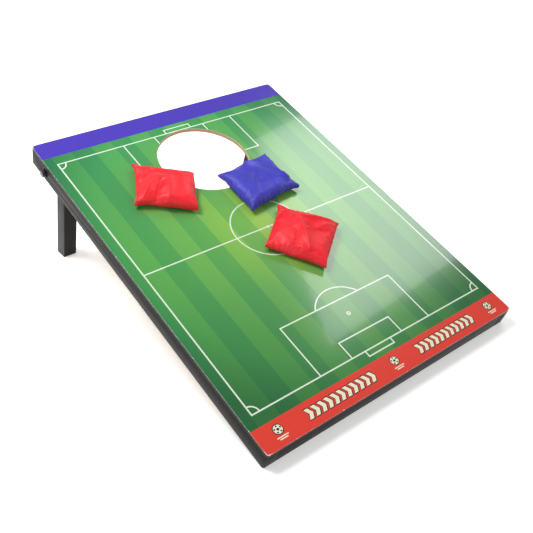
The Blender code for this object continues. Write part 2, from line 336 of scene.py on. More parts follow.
def rod(name: str, radius: float, length: float, sides: int, centre: Point,
        along_x: bool = False) -> bpy.types.Object:
    """Add a closed cylinder along Z, or along X, with its place in its mesh.

    Args:
        name: The piece's name.
        radius: Its radius.
        length: Its length.
        sides: How many sides it has.
        centre: Its middle.
        along_x: Whether it lies along X.

    Returns:
        The cylinder.
    """
    deselect_all()
    turn = (0.0, QUARTER_TURN if along_x else 0.0, 0.0)
    bpy.ops.mesh.primitive_cylinder_add(vertices=sides, radius=radius, depth=length, location=centre,
                                        rotation=turn)
    return bake_transform(added(name))


def turned(name: str, profile: list[tuple[float, float]], steps: int = 48) -> bpy.types.Object:
    """Extrude a profile of (radius, height) points vertex by vertex and spin it about Z.

    Args:
        name: The piece's name.
        profile: The outline, from axis to axis.
        steps: Faces around the turn.

    Returns:
        The closed turned piece.
    """
    deselect_all()
    radius, height = profile[0]
    bpy.ops.mesh.primitive_plane_add(size=MM, location=(radius, 0.0, height))
    item = bake_transform(added(name))
    edit(item)
    bpy.ops.mesh.merge(type="CENTER")
    for (here_r, here_z), (next_r, next_z) in zip(profile, profile[1:]):
        move = {"value": (next_r - here_r, 0.0, next_z - here_z)}
        bpy.ops.mesh.extrude_vertices_move(TRANSFORM_OT_translate=move)
    bpy.ops.mesh.select_all(action="SELECT")
    bpy.ops.mesh.spin(steps=steps, angle=FULL_TURN, center=(0.0, 0.0, 0.0), axis=AXIS_Z)
    leave_edit()
    outward(item)
    return item


# ---------------------------------------------------------------------------
# The deck's own frame, read from the CAD model


@dataclass(frozen=True)
class DeckFrame:
    """The tilted frame of the deck: origin at the middle of its top face, X right, Y rear, Z out."""

    origin: Vector
    tilt: float
    nodes: dict[str, bpy.types.Object]

    @classmethod
    def from_cad(cls, frame: dict) -> "DeckFrame":
        """Find the deck's frame from the film's box and the direction the bags lift in.


        Returns:
            The deck's frame.
        """
        lift = next(joint for joint in frame["joints"] if joint["type"] == "slide")
        normal = Vector(lift["axis"]).normalized()
        low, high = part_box("printed_film")
        origin = (low + high) / 2.0 + normal * FILM_THICKNESS / 2.0
        return cls(origin, math.atan2(-normal.y, normal.z), frame["nodes"])

    def matrix(self) -> Matrix:
        """The transform from the deck's frame to the row frame."""
        return Matrix.Translation(self.origin) @ Matrix.Rotation(self.tilt, 4, "X")

    def box_of(self, node: str) -> tuple[Vector, Vector]:
        """Lowest and highest corner of a CAD node in the deck's frame.

        Args:
            node: The CAD node's name.

        Returns:
            Both corners.
        """
        inverse = self.matrix().inverted()
        points = [inverse @ vertex.co for vertex in self.nodes[node].data.vertices]
        low = Vector(min(p[i] for p in points) for i in range(3))
        high = Vector(max(p[i] for p in points) for i in range(3))
        return low, high

    def mount(self, item: bpy.types.Object, body: str, *nodes: str) -> bpy.types.Object:
        """Put a piece built in the deck's frame in its place, on its body, in place of CAD nodes.

        Args:
            item: The piece.
            body: The body it rides on.
            *nodes: The CAD nodes it stands for, if any.

        Returns:
            The same piece.
        """
        bake_transform(item)
        item.data.transform(self.matrix())
        item.data.update()
        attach(item, body)
        if nodes:
            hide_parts(*nodes)
        LOG.info("%s rides on %s, %d faces", item.name, body, len(item.data.polygons))
        return item


# ---------------------------------------------------------------------------
# Node helpers and finishes


def add_node(tree: bpy.types.NodeTree, kind: str, inputs: dict, **settings: object) -> bpy.types.Node:
    """Add a shader node with its settings, values and links.

    Args:
        tree: The material's node tree.
        kind: The node's type.
        inputs: Input name or number, with the socket to link or the value to set.
        **settings: The node's own properties.

    Returns:
        The new node.
    """
    node = tree.nodes.new(kind)
    for key, value in settings.items():
        setattr(node, key, value)
    for key, value in inputs.items():
        if isinstance(value, bpy.types.NodeSocket):
            tree.links.new(value, node.inputs[key])
        else:
            node.inputs[key].default_value = value
    return node


def set_stops(ramp: bpy.types.Node, stops: Iterable[tuple[float, str]]) -> bpy.types.NodeSocket:
    """Give a colour ramp its stops.

    Args:
        ramp: The colour ramp node, with the two stops that it starts with.
        stops: Each stop's place from zero to one and its sRGB hex colour, in order.

    Returns:
        The ramp's colour.
    """
    placed = [(place, linear(tone)) for place, tone in stops]
    elements = ramp.color_ramp.elements
    elements[0].position, elements[0].color = placed[0]
    elements[1].position, elements[1].color = placed[-1]
    for place, colour in placed[1:-1]:
        elements.new(place).color = colour
    return ramp.outputs["Color"]


def new_material(name: str, roughness: float,
                 **sockets: float) -> tuple[bpy.types.Material, bpy.types.NodeTree, bpy.types.Node]:
    """Make a material whose constant values are set on its shader's own sockets.

    Args:
        name: The material's name.
        roughness: The shader's roughness.
        **sockets: Other inputs of the shader, with an underscore for each space.

    Returns:
        The material, its node tree and its Principled shader.
    """
    material = bpy.data.materials.new(name)
    material.use_nodes = True
    tree = material.node_tree
    shader = tree.nodes["Principled BSDF"]
    shader.inputs["Roughness"].default_value = roughness
    for key, value in sockets.items():
        shader.inputs[key.replace("_", " ")].default_value = value
    return material, tree, shader


def deck_vector(tree: bpy.types.NodeTree, deck: DeckFrame) -> bpy.types.NodeSocket:
    """Object coordinates turned into the deck's own frame, in metres."""
    coordinates = add_node(tree, "ShaderNodeTexCoord", {})
    back = Matrix.Rotation(-deck.tilt, 4, "X") @ Matrix.Translation(-deck.origin)
    mapping = add_node(tree, "ShaderNodeMapping", {"Vector": coordinates.outputs["Object"],
                                                   "Location": back.to_translation(),
                                                   "Rotation": (-deck.tilt, 0.0, 0.0)})
    return mapping.outputs["Vector"]


def per_metre(size_mm: float) -> float:
    """The scale that gives a noise texture features of about a size in millimetres."""
    return 1.0 / (size_mm * MM)


@dataclass(frozen=True)
class LaminatedPrint:
    """Gloss laminated vinyl print, as on sign film.

    The eye sees flat saturated ink under a clear layer that mirrors the lights a little softly, with
    a faint orange peel where the film follows the board, and a white core where its edge is worn.
    """

    peel_mm: float = 9.0
    peel_depth: float = 0.012 * MM
    grain_mm: float = 0.8
    wear_width: float = 1.1 * MM
    chip_mm: float = 7.0
    corner_reach: float = 9.0 * MM
    corner_wear: float = 2.6 * MM
    core: str = "#E9E6DF"

    def material(self, name: str, deck: DeckFrame, half_size: tuple[float, float],
                 ink: Callable[[bpy.types.NodeTree, bpy.types.NodeSocket], object]) -> bpy.types.Material:
        """Make the print in one ink or pattern.

        Args:
            name: The material's name.
            deck: The deck's frame.
            half_size: Half the film's width and length, where its edge wears.
            ink: Builds the ink's colour from the deck coordinates.

        Returns:
            The material.
        """
        material, tree, shader = new_material(name, **LAMINATE)
        place = deck_vector(tree, deck)
        grain = add_node(tree, "ShaderNodeTexNoise", {"Vector": place, "Scale": per_metre(self.grain_mm),
                                                      "Detail": 2.0})
        shade = add_node(tree, "ShaderNodeMapRange", {"Value": grain.outputs["Fac"], "To Min": 0.96,
                                                      "To Max": 1.04})
        printed = add_node(tree, "ShaderNodeMix", {"Factor": 1.0, MIX_A: ink(tree, place),
                                                   MIX_B: shade.outputs["Result"]}, **MULTIPLIED)
        colour = add_node(tree, "ShaderNodeMix", {"Factor": self.wear(tree, place, half_size),
                                                  MIX_A: printed.outputs[MIX_RESULT],
                                                  MIX_B: linear(self.core)}, **BLENDED)
        tree.links.new(colour.outputs[MIX_RESULT], shader.inputs["Base Color"])
        peel = add_node(tree, "ShaderNodeTexNoise", {"Vector": place, "Scale": per_metre(self.peel_mm),
                                                     "Detail": 2.5})
        relief = add_node(tree, "ShaderNodeBump", {"Height": peel.outputs["Fac"], "Distance": self.peel_depth,
                                                   "Strength": 1.0})
        tree.links.new(relief.outputs["Normal"], shader.inputs["Normal"])
        return material

    def wear(self, tree: bpy.types.NodeTree, place: bpy.types.NodeSocket,
             half_size: tuple[float, float]) -> bpy.types.NodeSocket:
        """One where the film is chipped along its edge or rubbed at a corner, and zero elsewhere.

        Args:
            tree: The material's node tree.
            place: The deck coordinates.
            half_size: Half the film's width and length.

        Returns:
            The wear.
        """
        axes = add_node(tree, "ShaderNodeSeparateXYZ", {"Vector": place})
        gaps = {}
        for number, half in enumerate(half_size):
            away = add_node(tree, "ShaderNodeMath", {0: axes.outputs[number]}, operation="ABSOLUTE")
            gap = add_node(tree, "ShaderNodeMath", {0: half, 1: away.outputs[0]}, operation="SUBTRACT")
            gaps[number] = gap.outputs[0]
        to_edge = add_node(tree, "ShaderNodeMath", gaps, operation="MINIMUM")
        to_corner = add_node(tree, "ShaderNodeMath", gaps, operation="MAXIMUM")
        chips = add_node(tree, "ShaderNodeTexNoise", {"Vector": place, "Scale": per_metre(self.chip_mm),
                                                      "Detail": 3.0})
        reach = add_node(tree, "ShaderNodeMapRange", {"Value": chips.outputs["Fac"], "From Min": 0.60,
                                                      "From Max": 0.78, "To Min": 0.0,
                                                      "To Max": self.wear_width})
        rubbed = add_node(tree, "ShaderNodeMapRange", {"Value": to_corner.outputs[0], "From Min": 0.0,
                                                       "From Max": self.corner_reach,
                                                       "To Min": self.corner_wear, "To Max": 0.0})
        patchy = add_node(tree, "ShaderNodeMath", {0: rubbed.outputs["Result"], 1: chips.outputs["Fac"]},
                          operation="MULTIPLY")
        limit = add_node(tree, "ShaderNodeMath", {0: reach.outputs["Result"], 1: patchy.outputs[0]},
                         operation="ADD")
        worn = add_node(tree, "ShaderNodeMath", {0: to_edge.outputs[0], 1: limit.outputs[0]},
                        operation="LESS_THAN")
        return worn.outputs[0]


@dataclass(frozen=True)
class PitchInk:
    """The green mowing stripes of the print, in metres in the deck's frame, under painted shade: darker and
    warmer towards the front, paler and bluer towards the rear.
    """

    first_edge: float = 17.7 * MM
    period: float = 66.2 * MM
    dark_share: float = 0.5
    reach: tuple[float, float] = (300.0 * MM, 360.0 * MM)
    centre_y: float = 20.0 * MM
    glow: tuple[tuple[float, str], ...] = (
        (0.0, "#A8F262"), (0.4, "#77D668"), (0.75, "#5AC362"), (1.0, "#399854"))
    mown: str = "#CEEBFE"
    # Painted shade: the grass is darkened and warmed towards the front and paled and blued towards the rear,
    # as the light falls from behind. These ends and stops carry it.
    fade_low: float = -300.0 * MM
    fade_high: float = 300.0 * MM
    fade: tuple[tuple[float, str], ...] = (
        (0.0, "#CDBAA8"), (0.11, "#CCBCB5"), (0.21, "#D1C0BC"), (0.33, "#D7C7C9"),
        (0.43, "#E5CFC8"), (0.55, "#E5D2CC"), (0.75, "#E1CED7"), (0.93, "#D8D3E0"))

    def __call__(self, tree: bpy.types.NodeTree, place: bpy.types.NodeSocket) -> bpy.types.NodeSocket:
        """Build the stripes, the glow round the middle, and the painted shade that darkens and warms the
        grass towards the front and pales and blues it towards the rear.
        """
        axes = add_node(tree, "ShaderNodeSeparateXYZ", {"Vector": place})
        across = add_node(tree, "ShaderNodeMath", {0: axes.outputs["X"]}, operation="ABSOLUTE")
        past = add_node(tree, "ShaderNodeMath", {0: across.outputs[0], 1: self.first_edge},
                        operation="SUBTRACT")
        count = add_node(tree, "ShaderNodeMath", {0: past.outputs[0], 1: self.period}, operation="DIVIDE")
        cycle = add_node(tree, "ShaderNodeMath", {0: count.outputs[0]}, operation="FRACT")
        is_dark = add_node(tree, "ShaderNodeMath", {0: cycle.outputs[0], 1: self.dark_share},
                           operation="LESS_THAN")
        from_middle = self.from_middle(tree, across.outputs[0], axes.outputs["Y"])
        light = set_stops(add_node(tree, "ShaderNodeValToRGB", {"Fac": from_middle}), self.glow)
        dark = add_node(tree, "ShaderNodeMix", {"Factor": 1.0, MIX_A: light, MIX_B: linear(self.mown)},
                        **MULTIPLIED)
        grass = add_node(tree, "ShaderNodeMix", {"Factor": is_dark.outputs[0], MIX_A: light,
                                                 MIX_B: dark.outputs[MIX_RESULT]}, **BLENDED)
        # Painted shade along the deck, from darker warm tones at the front to pale blue ones at the rear.
        rearward = add_node(tree, "ShaderNodeMapRange", {"Value": axes.outputs["Y"],
                                                         "From Min": self.fade_low,
                                                         "From Max": self.fade_high})
        fade = set_stops(add_node(tree, "ShaderNodeValToRGB", {"Fac": rearward.outputs["Result"]}), self.fade)
        grass_under_painted_shade = add_node(tree, "ShaderNodeMix", {"Factor": 1.0, MIX_A: grass.outputs[MIX_RESULT],
                                                 MIX_B: fade}, **MULTIPLIED)
        return grass_under_painted_shade.outputs[MIX_RESULT]

    def from_middle(self, tree: bpy.types.NodeTree, across: bpy.types.NodeSocket,
                    along: bpy.types.NodeSocket) -> bpy.types.NodeSocket:
        """How far a point is from the middle of the glow, one being the glow's reach each way.

        Args:
            tree: The material's node tree.
            across: The distance from the deck's middle line.
            along: The deck's Y.

        Returns:
            The distance.
        """
        ahead = add_node(tree, "ShaderNodeMath", {0: along, 1: self.centre_y}, operation="SUBTRACT")
        squares = {}
        for number, (away, reach) in enumerate(zip((across, ahead.outputs[0]), self.reach)):
            share = add_node(tree, "ShaderNodeMath", {0: away, 1: reach}, operation="DIVIDE").outputs[0]
            square = add_node(tree, "ShaderNodeMath", {0: share, 1: share}, operation="MULTIPLY")
            squares[number] = square.outputs[0]
        total = add_node(tree, "ShaderNodeMath", squares, operation="ADD")
        return add_node(tree, "ShaderNodeMath", {0: total.outputs[0]}, operation="SQRT").outputs[0]


def flat_ink(hex_colour: str) -> Callable[[bpy.types.NodeTree, bpy.types.NodeSocket], Colour]:
    """An ink of one colour."""
    return lambda tree, place: linear(hex_colour)


@dataclass(frozen=True)
class SatinPaint:
    """Satin black alkyd paint, brushed on planed pine.

    The eye sees near black with a soft sheen, the timber's long grain showing through as faint
    ridges, and slightly rubbed, greyer edges.
    """

    body: str = "#1B191A"
    rubbed: str = "#3A3736"
    grain_mm: float = 2.2
    grain_stretch: float = 0.04
    grain_depth: float = 0.03 * MM
    blotch_mm: float = 35.0

    def material(self, name: str, deck: DeckFrame, grain_axis: int) -> bpy.types.Material:
        """Make the paint with its grain along one axis of the deck (0 X, 1 Y, 2 Z).

        Args:
            name: The material's name.
            deck: The deck's frame.
            grain_axis: The axis of the grain.

        Returns:
            The material.
        """
        material, tree, shader = new_material(name, 0.42, IOR=1.47, Specular_IOR_Level=0.12)
        place = deck_vector(tree, deck)
        stretch = [1.0, 1.0, 1.0]
        stretch[grain_axis] = self.grain_stretch
        along = add_node(tree, "ShaderNodeMapping", {"Vector": place, "Scale": stretch})
        grain = add_node(tree, "ShaderNodeTexNoise", {"Vector": along.outputs["Vector"], "Detail": 4.0,
                                                      "Scale": per_metre(self.grain_mm), "Distortion": 0.4})
        blotches = add_node(tree, "ShaderNodeTexNoise", {"Vector": place, "Scale": per_metre(self.blotch_mm),
                                                         "Detail": 3.0})
        edges = add_node(tree, "ShaderNodeNewGeometry", {})
        rub = add_node(tree, "ShaderNodeMapRange", {"Value": edges.outputs["Pointiness"], "From Min": 0.52,
                                                    "From Max": 0.60})
        patchy = add_node(tree, "ShaderNodeMath", {0: rub.outputs["Result"], 1: blotches.outputs["Fac"]},
                          operation="MULTIPLY")
        colour = add_node(tree, "ShaderNodeMix", {"Factor": patchy.outputs[0], MIX_A: linear(self.body),
                                                  MIX_B: linear(self.rubbed)}, **BLENDED)
        tree.links.new(colour.outputs[MIX_RESULT], shader.inputs["Base Color"])
        gloss = add_node(tree, "ShaderNodeMapRange", {"Value": blotches.outputs["Fac"], "To Min": 0.36,
                                                      "To Max": 0.5})
        tree.links.new(gloss.outputs["Result"], shader.inputs["Roughness"])
        relief = add_node(tree, "ShaderNodeBump", {"Height": grain.outputs["Fac"], "Strength": 0.6,
                                                   "Distance": self.grain_depth})
        tree.links.new(relief.outputs["Normal"], shader.inputs["Normal"])
        return material


@dataclass(frozen=True)
class Fibreboard:
    """Raw medium density fibreboard.

    The eye sees a matt tan felt of short fibres that lie flat in the panel, in paler and darker clouds.
    """

    pale: str = "#CDAF8A"
    deep: str = "#A5845F"
    fibre_mm: float = 0.9
    fibre_depth: float = 0.08 * MM
    cloud_mm: float = 28.0
    pressed: float = 3.0

    def material(self, name: str, deck: DeckFrame) -> bpy.types.Material:
        """Make the board with its fibres pressed thinner along the deck's Z axis."""
        material, tree, shader = new_material(name, 0.86, IOR=1.45)
        place = deck_vector(tree, deck)
        layered = add_node(tree, "ShaderNodeMapping", {"Vector": place, "Scale": (1.0, 1.0, self.pressed)})
        fibres = add_node(tree, "ShaderNodeTexNoise", {"Vector": layered.outputs["Vector"], "Detail": 6.0,
                                                       "Scale": per_metre(self.fibre_mm), "Roughness": 0.65})
        clouds = add_node(tree, "ShaderNodeTexNoise", {"Vector": place, "Scale": per_metre(self.cloud_mm),
                                                       "Detail": 3.0})
        speckle = set_stops(add_node(tree, "ShaderNodeValToRGB", {"Fac": fibres.outputs["Fac"]}),
                            [(0.32, self.deep), (0.66, self.pale)])
        shade = add_node(tree, "ShaderNodeMapRange", {"Value": clouds.outputs["Fac"], "To Min": 0.86,
                                                      "To Max": 1.1})
        colour = add_node(tree, "ShaderNodeMix", {"Factor": 1.0, MIX_A: speckle,
                                                  MIX_B: shade.outputs["Result"]}, **MULTIPLIED)
        tree.links.new(colour.outputs[MIX_RESULT], shader.inputs["Base Color"])
        relief = add_node(tree, "ShaderNodeBump", {"Height": fibres.outputs["Fac"], "Strength": 0.7,
                                                   "Distance": self.fibre_depth})
        tree.links.new(relief.outputs["Normal"], shader.inputs["Normal"])
        return material


@dataclass(frozen=True)
class PlanedPine:
    """Planed, unpainted pine.

    The eye sees warm straw wood with darker growth rings drawn out into long lines.
    """

    early: str = "#D9B582"
    late: str = "#A8743F"
    ring_mm: float = 5.146
    ring_depth: float = 0.05 * MM
    length_stretch: float = 0.06

    def material(self, name: str, deck: DeckFrame) -> bpy.types.Material:
        """Make the wood with its rings running along the deck's X axis."""
        material, tree, shader = new_material(name, 0.62, IOR=1.47)
        place = deck_vector(tree, deck)
        drawn = add_node(tree, "ShaderNodeMapping", {"Vector": place,
                                                     "Scale": (self.length_stretch, 1.0, 1.0)})
        ring_scale = FULL_TURN / WAVE_RATE * per_metre(self.ring_mm)
        rings = add_node(tree, "ShaderNodeTexWave", {"Vector": drawn.outputs["Vector"], "Scale": ring_scale,
                                                     "Distortion": 3.5, "Detail": 3.0, "Detail Scale": 1.4},
                         wave_type="BANDS", bands_direction="Z")
        colour = set_stops(add_node(tree, "ShaderNodeValToRGB", {"Fac": rings.outputs["Fac"]}),
                           [(0.15, self.early), (0.9, self.late)])
        tree.links.new(colour, shader.inputs["Base Color"])
        relief = add_node(tree, "ShaderNodeBump", {"Height": rings.outputs["Fac"], "Strength": 0.6,
                                                   "Distance": self.ring_depth})
        tree.links.new(relief.outputs["Normal"], shader.inputs["Normal"])
        return material


@dataclass(frozen=True)
class PlatedSteel:
    """Cold headed steel with a thin plating: bright zinc, yellow zinc or black oxide.

    The eye sees a metal sheen broken by fine machining marks and a slightly cloudy plating.
    """

    tone: str
    cloud_tone: str
    roughness: float
    cloud_mm: float = 2.5
    mark_mm: float = 0.35
    mark_depth: float = 0.01 * MM

    def material(self, name: str) -> bpy.types.Material:
        """Make the plated metal."""
        material, tree, shader = new_material(name, self.roughness, Metallic=1.0)
        place = add_node(tree, "ShaderNodeTexCoord", {}).outputs["Object"]
        clouds = add_node(tree, "ShaderNodeTexNoise", {"Vector": place, "Scale": per_metre(self.cloud_mm),
                                                       "Detail": 4.0})
        marks = add_node(tree, "ShaderNodeTexNoise", {"Vector": place, "Scale": per_metre(self.mark_mm),
                                                      "Detail": 2.0})
        colour = add_node(tree, "ShaderNodeMix", {"Factor": clouds.outputs["Fac"], MIX_A: linear(self.tone),
                                                  MIX_B: linear(self.cloud_tone)}, **BLENDED)
        tree.links.new(colour.outputs[MIX_RESULT], shader.inputs["Base Color"])
        rough = add_node(tree, "ShaderNodeMapRange", {"Value": clouds.outputs["Fac"],
                                                      "To Min": self.roughness - 0.08,
                                                      "To Max": self.roughness + 0.12})
        tree.links.new(rough.outputs["Result"], shader.inputs["Roughness"])
        relief = add_node(tree, "ShaderNodeBump", {"Height": marks.outputs["Fac"], "Strength": 0.5,
                                                   "Distance": self.mark_depth})
        tree.links.new(relief.outputs["Normal"], shader.inputs["Normal"])
        return material


@dataclass(frozen=True)
class MouldedNylon:
    """Injection moulded nylon. The eye sees a dull, even plastic with a fine sparked texture."""

    tone: str
    spark_mm: float = 0.4
    spark_depth: float = 0.02 * MM

    def material(self, name: str) -> bpy.types.Material:
        """Make the plastic."""
        material, tree, shader = new_material(name, 0.48, IOR=1.53)
        coordinates = add_node(tree, "ShaderNodeTexCoord", {})
        spark = add_node(tree, "ShaderNodeTexNoise", {"Vector": coordinates.outputs["Object"], "Detail": 2.0,
                                                      "Scale": per_metre(self.spark_mm)})
        shade = add_node(tree, "ShaderNodeMapRange", {"Value": spark.outputs["Fac"], "To Min": 0.85,
                                                      "To Max": 1.15})
        colour = add_node(tree, "ShaderNodeMix", {"Factor": 1.0, MIX_A: linear(self.tone),
                                                  MIX_B: shade.outputs["Result"]}, **MULTIPLIED)
        tree.links.new(colour.outputs[MIX_RESULT], shader.inputs["Base Color"])
        relief = add_node(tree, "ShaderNodeBump", {"Height": spark.outputs["Fac"], "Strength": 0.5,
                                                   "Distance": self.spark_depth})
        tree.links.new(relief.outputs["Normal"], shader.inputs["Normal"])
        return material


@dataclass(frozen=True)
class WovenNylon:
    """Plain woven nylon, lightly coated, as sewn into bean bags.

    The eye sees strong dye, a soft silky highlight that runs along each fold, and a fine ribbing of
    threads. Real threads are about 0.3 mm apart, too fine to show, so they are drawn at 0.9 mm.
    """

    dye: str
    pale: str
    deep: str
    thread_mm: float = 0.9
    thread_depth: float = 0.05 * MM
    side_mm: float = 100.0
    cloud_mm: float = 30.0
    crumple_mm: float = 7.0
    crumple_depth: float = 0.4 * MM

    def material(self, name: str) -> bpy.types.Material:
        """Make the cloth, its weave following the piece's own UV map, one unit to a bag's side."""
        material, tree, shader = new_material(name, 0.5, IOR=1.5, Specular_IOR_Level=0.45, Sheen_Weight=0.06,
                                              Sheen_Roughness=0.35)
        coordinates = add_node(tree, "ShaderNodeTexCoord", {})
        clouds = add_node(tree, "ShaderNodeTexNoise", {"Vector": coordinates.outputs["Object"], "Detail": 4.0,
                                                       "Scale": per_metre(self.cloud_mm)})
        tint = set_stops(add_node(tree, "ShaderNodeValToRGB", {"Fac": clouds.outputs["Fac"]}),
                         [(0.3, self.deep), (0.5, self.dye), (0.72, self.pale)])
        threads = self.threads(tree, coordinates.outputs["UV"])
        shade = add_node(tree, "ShaderNodeMapRange", {"Value": threads, "To Min": 0.9, "To Max": 1.08})
        colour = add_node(tree, "ShaderNodeMix", {"Factor": 1.0, MIX_A: tint, MIX_B: shade.outputs["Result"]},
                          **MULTIPLIED)
        tree.links.new(colour.outputs[MIX_RESULT], shader.inputs["Base Color"])
        crumple = add_node(tree, "ShaderNodeTexNoise", {"Vector": coordinates.outputs["Object"],
                                                        "Detail": 3.0, "Scale": per_metre(self.crumple_mm),
                                                        "Distortion": 0.8})
        soft = add_node(tree, "ShaderNodeBump", {"Height": crumple.outputs["Fac"],
                                                 "Distance": self.crumple_depth, "Strength": 0.3})
        ribbed = add_node(tree, "ShaderNodeBump", {"Height": threads, "Distance": self.thread_depth,
                                                   "Strength": 0.4, "Normal": soft.outputs["Normal"]})
        tree.links.new(ribbed.outputs["Normal"], shader.inputs["Normal"])
        return material

    def threads(self, tree: bpy.types.NodeTree, sheet: bpy.types.NodeSocket) -> bpy.types.NodeSocket:
        """The height of the weave: bands both ways across the sheet, multiplied.

        Args:
            tree: The material's node tree.
            sheet: The UV coordinates.

        Returns:
            The height, from zero to one.
        """
        scale = FULL_TURN / WAVE_RATE * self.side_mm / self.thread_mm
        bands = {}
        for number, direction in enumerate("XY"):
            band = add_node(tree, "ShaderNodeTexWave", {"Vector": sheet, "Scale": scale, "Distortion": 0.6,
                                                        "Detail": 1.0},
                            wave_type="BANDS", bands_direction=direction)
            bands[number] = band.outputs["Fac"]
        return add_node(tree, "ShaderNodeMath", bands, operation="MULTIPLY").outputs[0]


# ---------------------------------------------------------------------------
# The deck: printed film, its markings and artwork, and the board under it


@dataclass
class PrintedFilm:
    """The printed film over the whole deck: a green pitch between a red and a blue band."""

    deck: DeckFrame
    hole_centre_y: float = 171.0 * MM
    hole_radius: float = 75.0 * MM
    hole_sides: int = 192
    tool_length: float = 60.0 * MM
    corner: float = 3.0 * MM
    red_band_edge: float = -264.5 * MM
    blue_band_edge: float = 264.8 * MM
    red: str = "#E63E2F"
    blue: str = "#4936B3"
    core: str = "#EFECE4"

    def build(self) -> bpy.types.Object:
        """Build the film as one slab, cut by the hole and divided along both bands."""
        low, high = self.deck.box_of("printed_film")
        film = box_piece("pitch_film", low, high)
        select_parts(film, "EDGE", lambda p: abs(p.x) > high.x - MM and abs(p.y) > high.y - MM)
        bpy.ops.mesh.bevel(offset=self.corner, segments=6, affect="EDGES")
        leave_edit()
        carve(film, self.hole_tool())
        edit(film)
        bpy.ops.mesh.bisect(plane_co=(0.0, self.red_band_edge, 0.0), plane_no=AXIS_Y)
        bpy.ops.mesh.select_all(action="SELECT")
        bpy.ops.mesh.bisect(plane_co=(0.0, self.blue_band_edge, 0.0), plane_no=AXIS_Y)
        leave_edit()
        self.dress(film, high)
        return self.deck.mount(film, "board", "printed_film")

    def hole_tool(self, extra: float = 0.0) -> bpy.types.Object:
        """A cylinder that cuts the hole, a little larger if asked."""
        centre = (0.0, self.hole_centre_y, 0.0)
        return rod("hole_tool", self.hole_radius + extra, self.tool_length, self.hole_sides, centre)

    def dress(self, film: bpy.types.Object, high: Vector) -> None:
        """Give the pitch, the bands and the film's cut edge their inks."""
        half = (high.x, high.y)
        gloss = LaminatedPrint()
        # The pitch material holds the print and a painted shade that darkens the grass towards the front.
        inks = {FilmInk.PITCH: ("gloss_vinyl_pitch_print", PitchInk()),
                FilmInk.RED_BAND: ("gloss_vinyl_red_print", flat_ink(self.red)),
                FilmInk.BLUE_BAND: ("gloss_vinyl_blue_print", flat_ink(self.blue)),
                FilmInk.CUT_EDGE: ("vinyl_cut_edge", flat_ink(self.core))}
        for kind in FilmInk:
            name, ink = inks[kind]
            film.data.materials.append(gloss.material(name, self.deck, half, ink))
        for face in film.data.polygons:
            kind = FilmInk.PITCH
            if abs(face.normal.z) < 0.5:
                kind = FilmInk.CUT_EDGE
            elif face.center.y < self.red_band_edge:
                kind = FilmInk.RED_BAND
            elif face.center.y > self.blue_band_edge:
                kind = FilmInk.BLUE_BAND
            face.material_index = kind.value


@dataclass(frozen=True)
class ScreenInk:
    """Opaque screen ink under the laminate. The eye sees clean flat colour with the film's own gloss."""

    tone: str
    mottle_mm: float = 5.0
    mottle_depth: float = 0.004 * MM

    def material(self, name: str, deck: DeckFrame) -> bpy.types.Material:
        """Make the ink."""
        material, tree, shader = new_material(name, **LAMINATE)
        place = deck_vector(tree, deck)
        mottle = add_node(tree, "ShaderNodeTexNoise", {"Vector": place, "Scale": per_metre(self.mottle_mm),
                                                       "Detail": 4.0})
        shade = add_node(tree, "ShaderNodeMapRange", {"Value": mottle.outputs["Fac"], "To Min": 0.94,
                                                      "To Max": 1.03})
        colour = add_node(tree, "ShaderNodeMix", {"Factor": 1.0, MIX_A: linear(self.tone),
                                                  MIX_B: shade.outputs["Result"]}, **MULTIPLIED)
        tree.links.new(colour.outputs[MIX_RESULT], shader.inputs["Base Color"])
        relief = add_node(tree, "ShaderNodeBump", {"Height": mottle.outputs["Fac"],
                                                   "Distance": self.mottle_depth, "Strength": 0.4})
        tree.links.new(relief.outputs["Normal"], shader.inputs["Normal"])
        return material


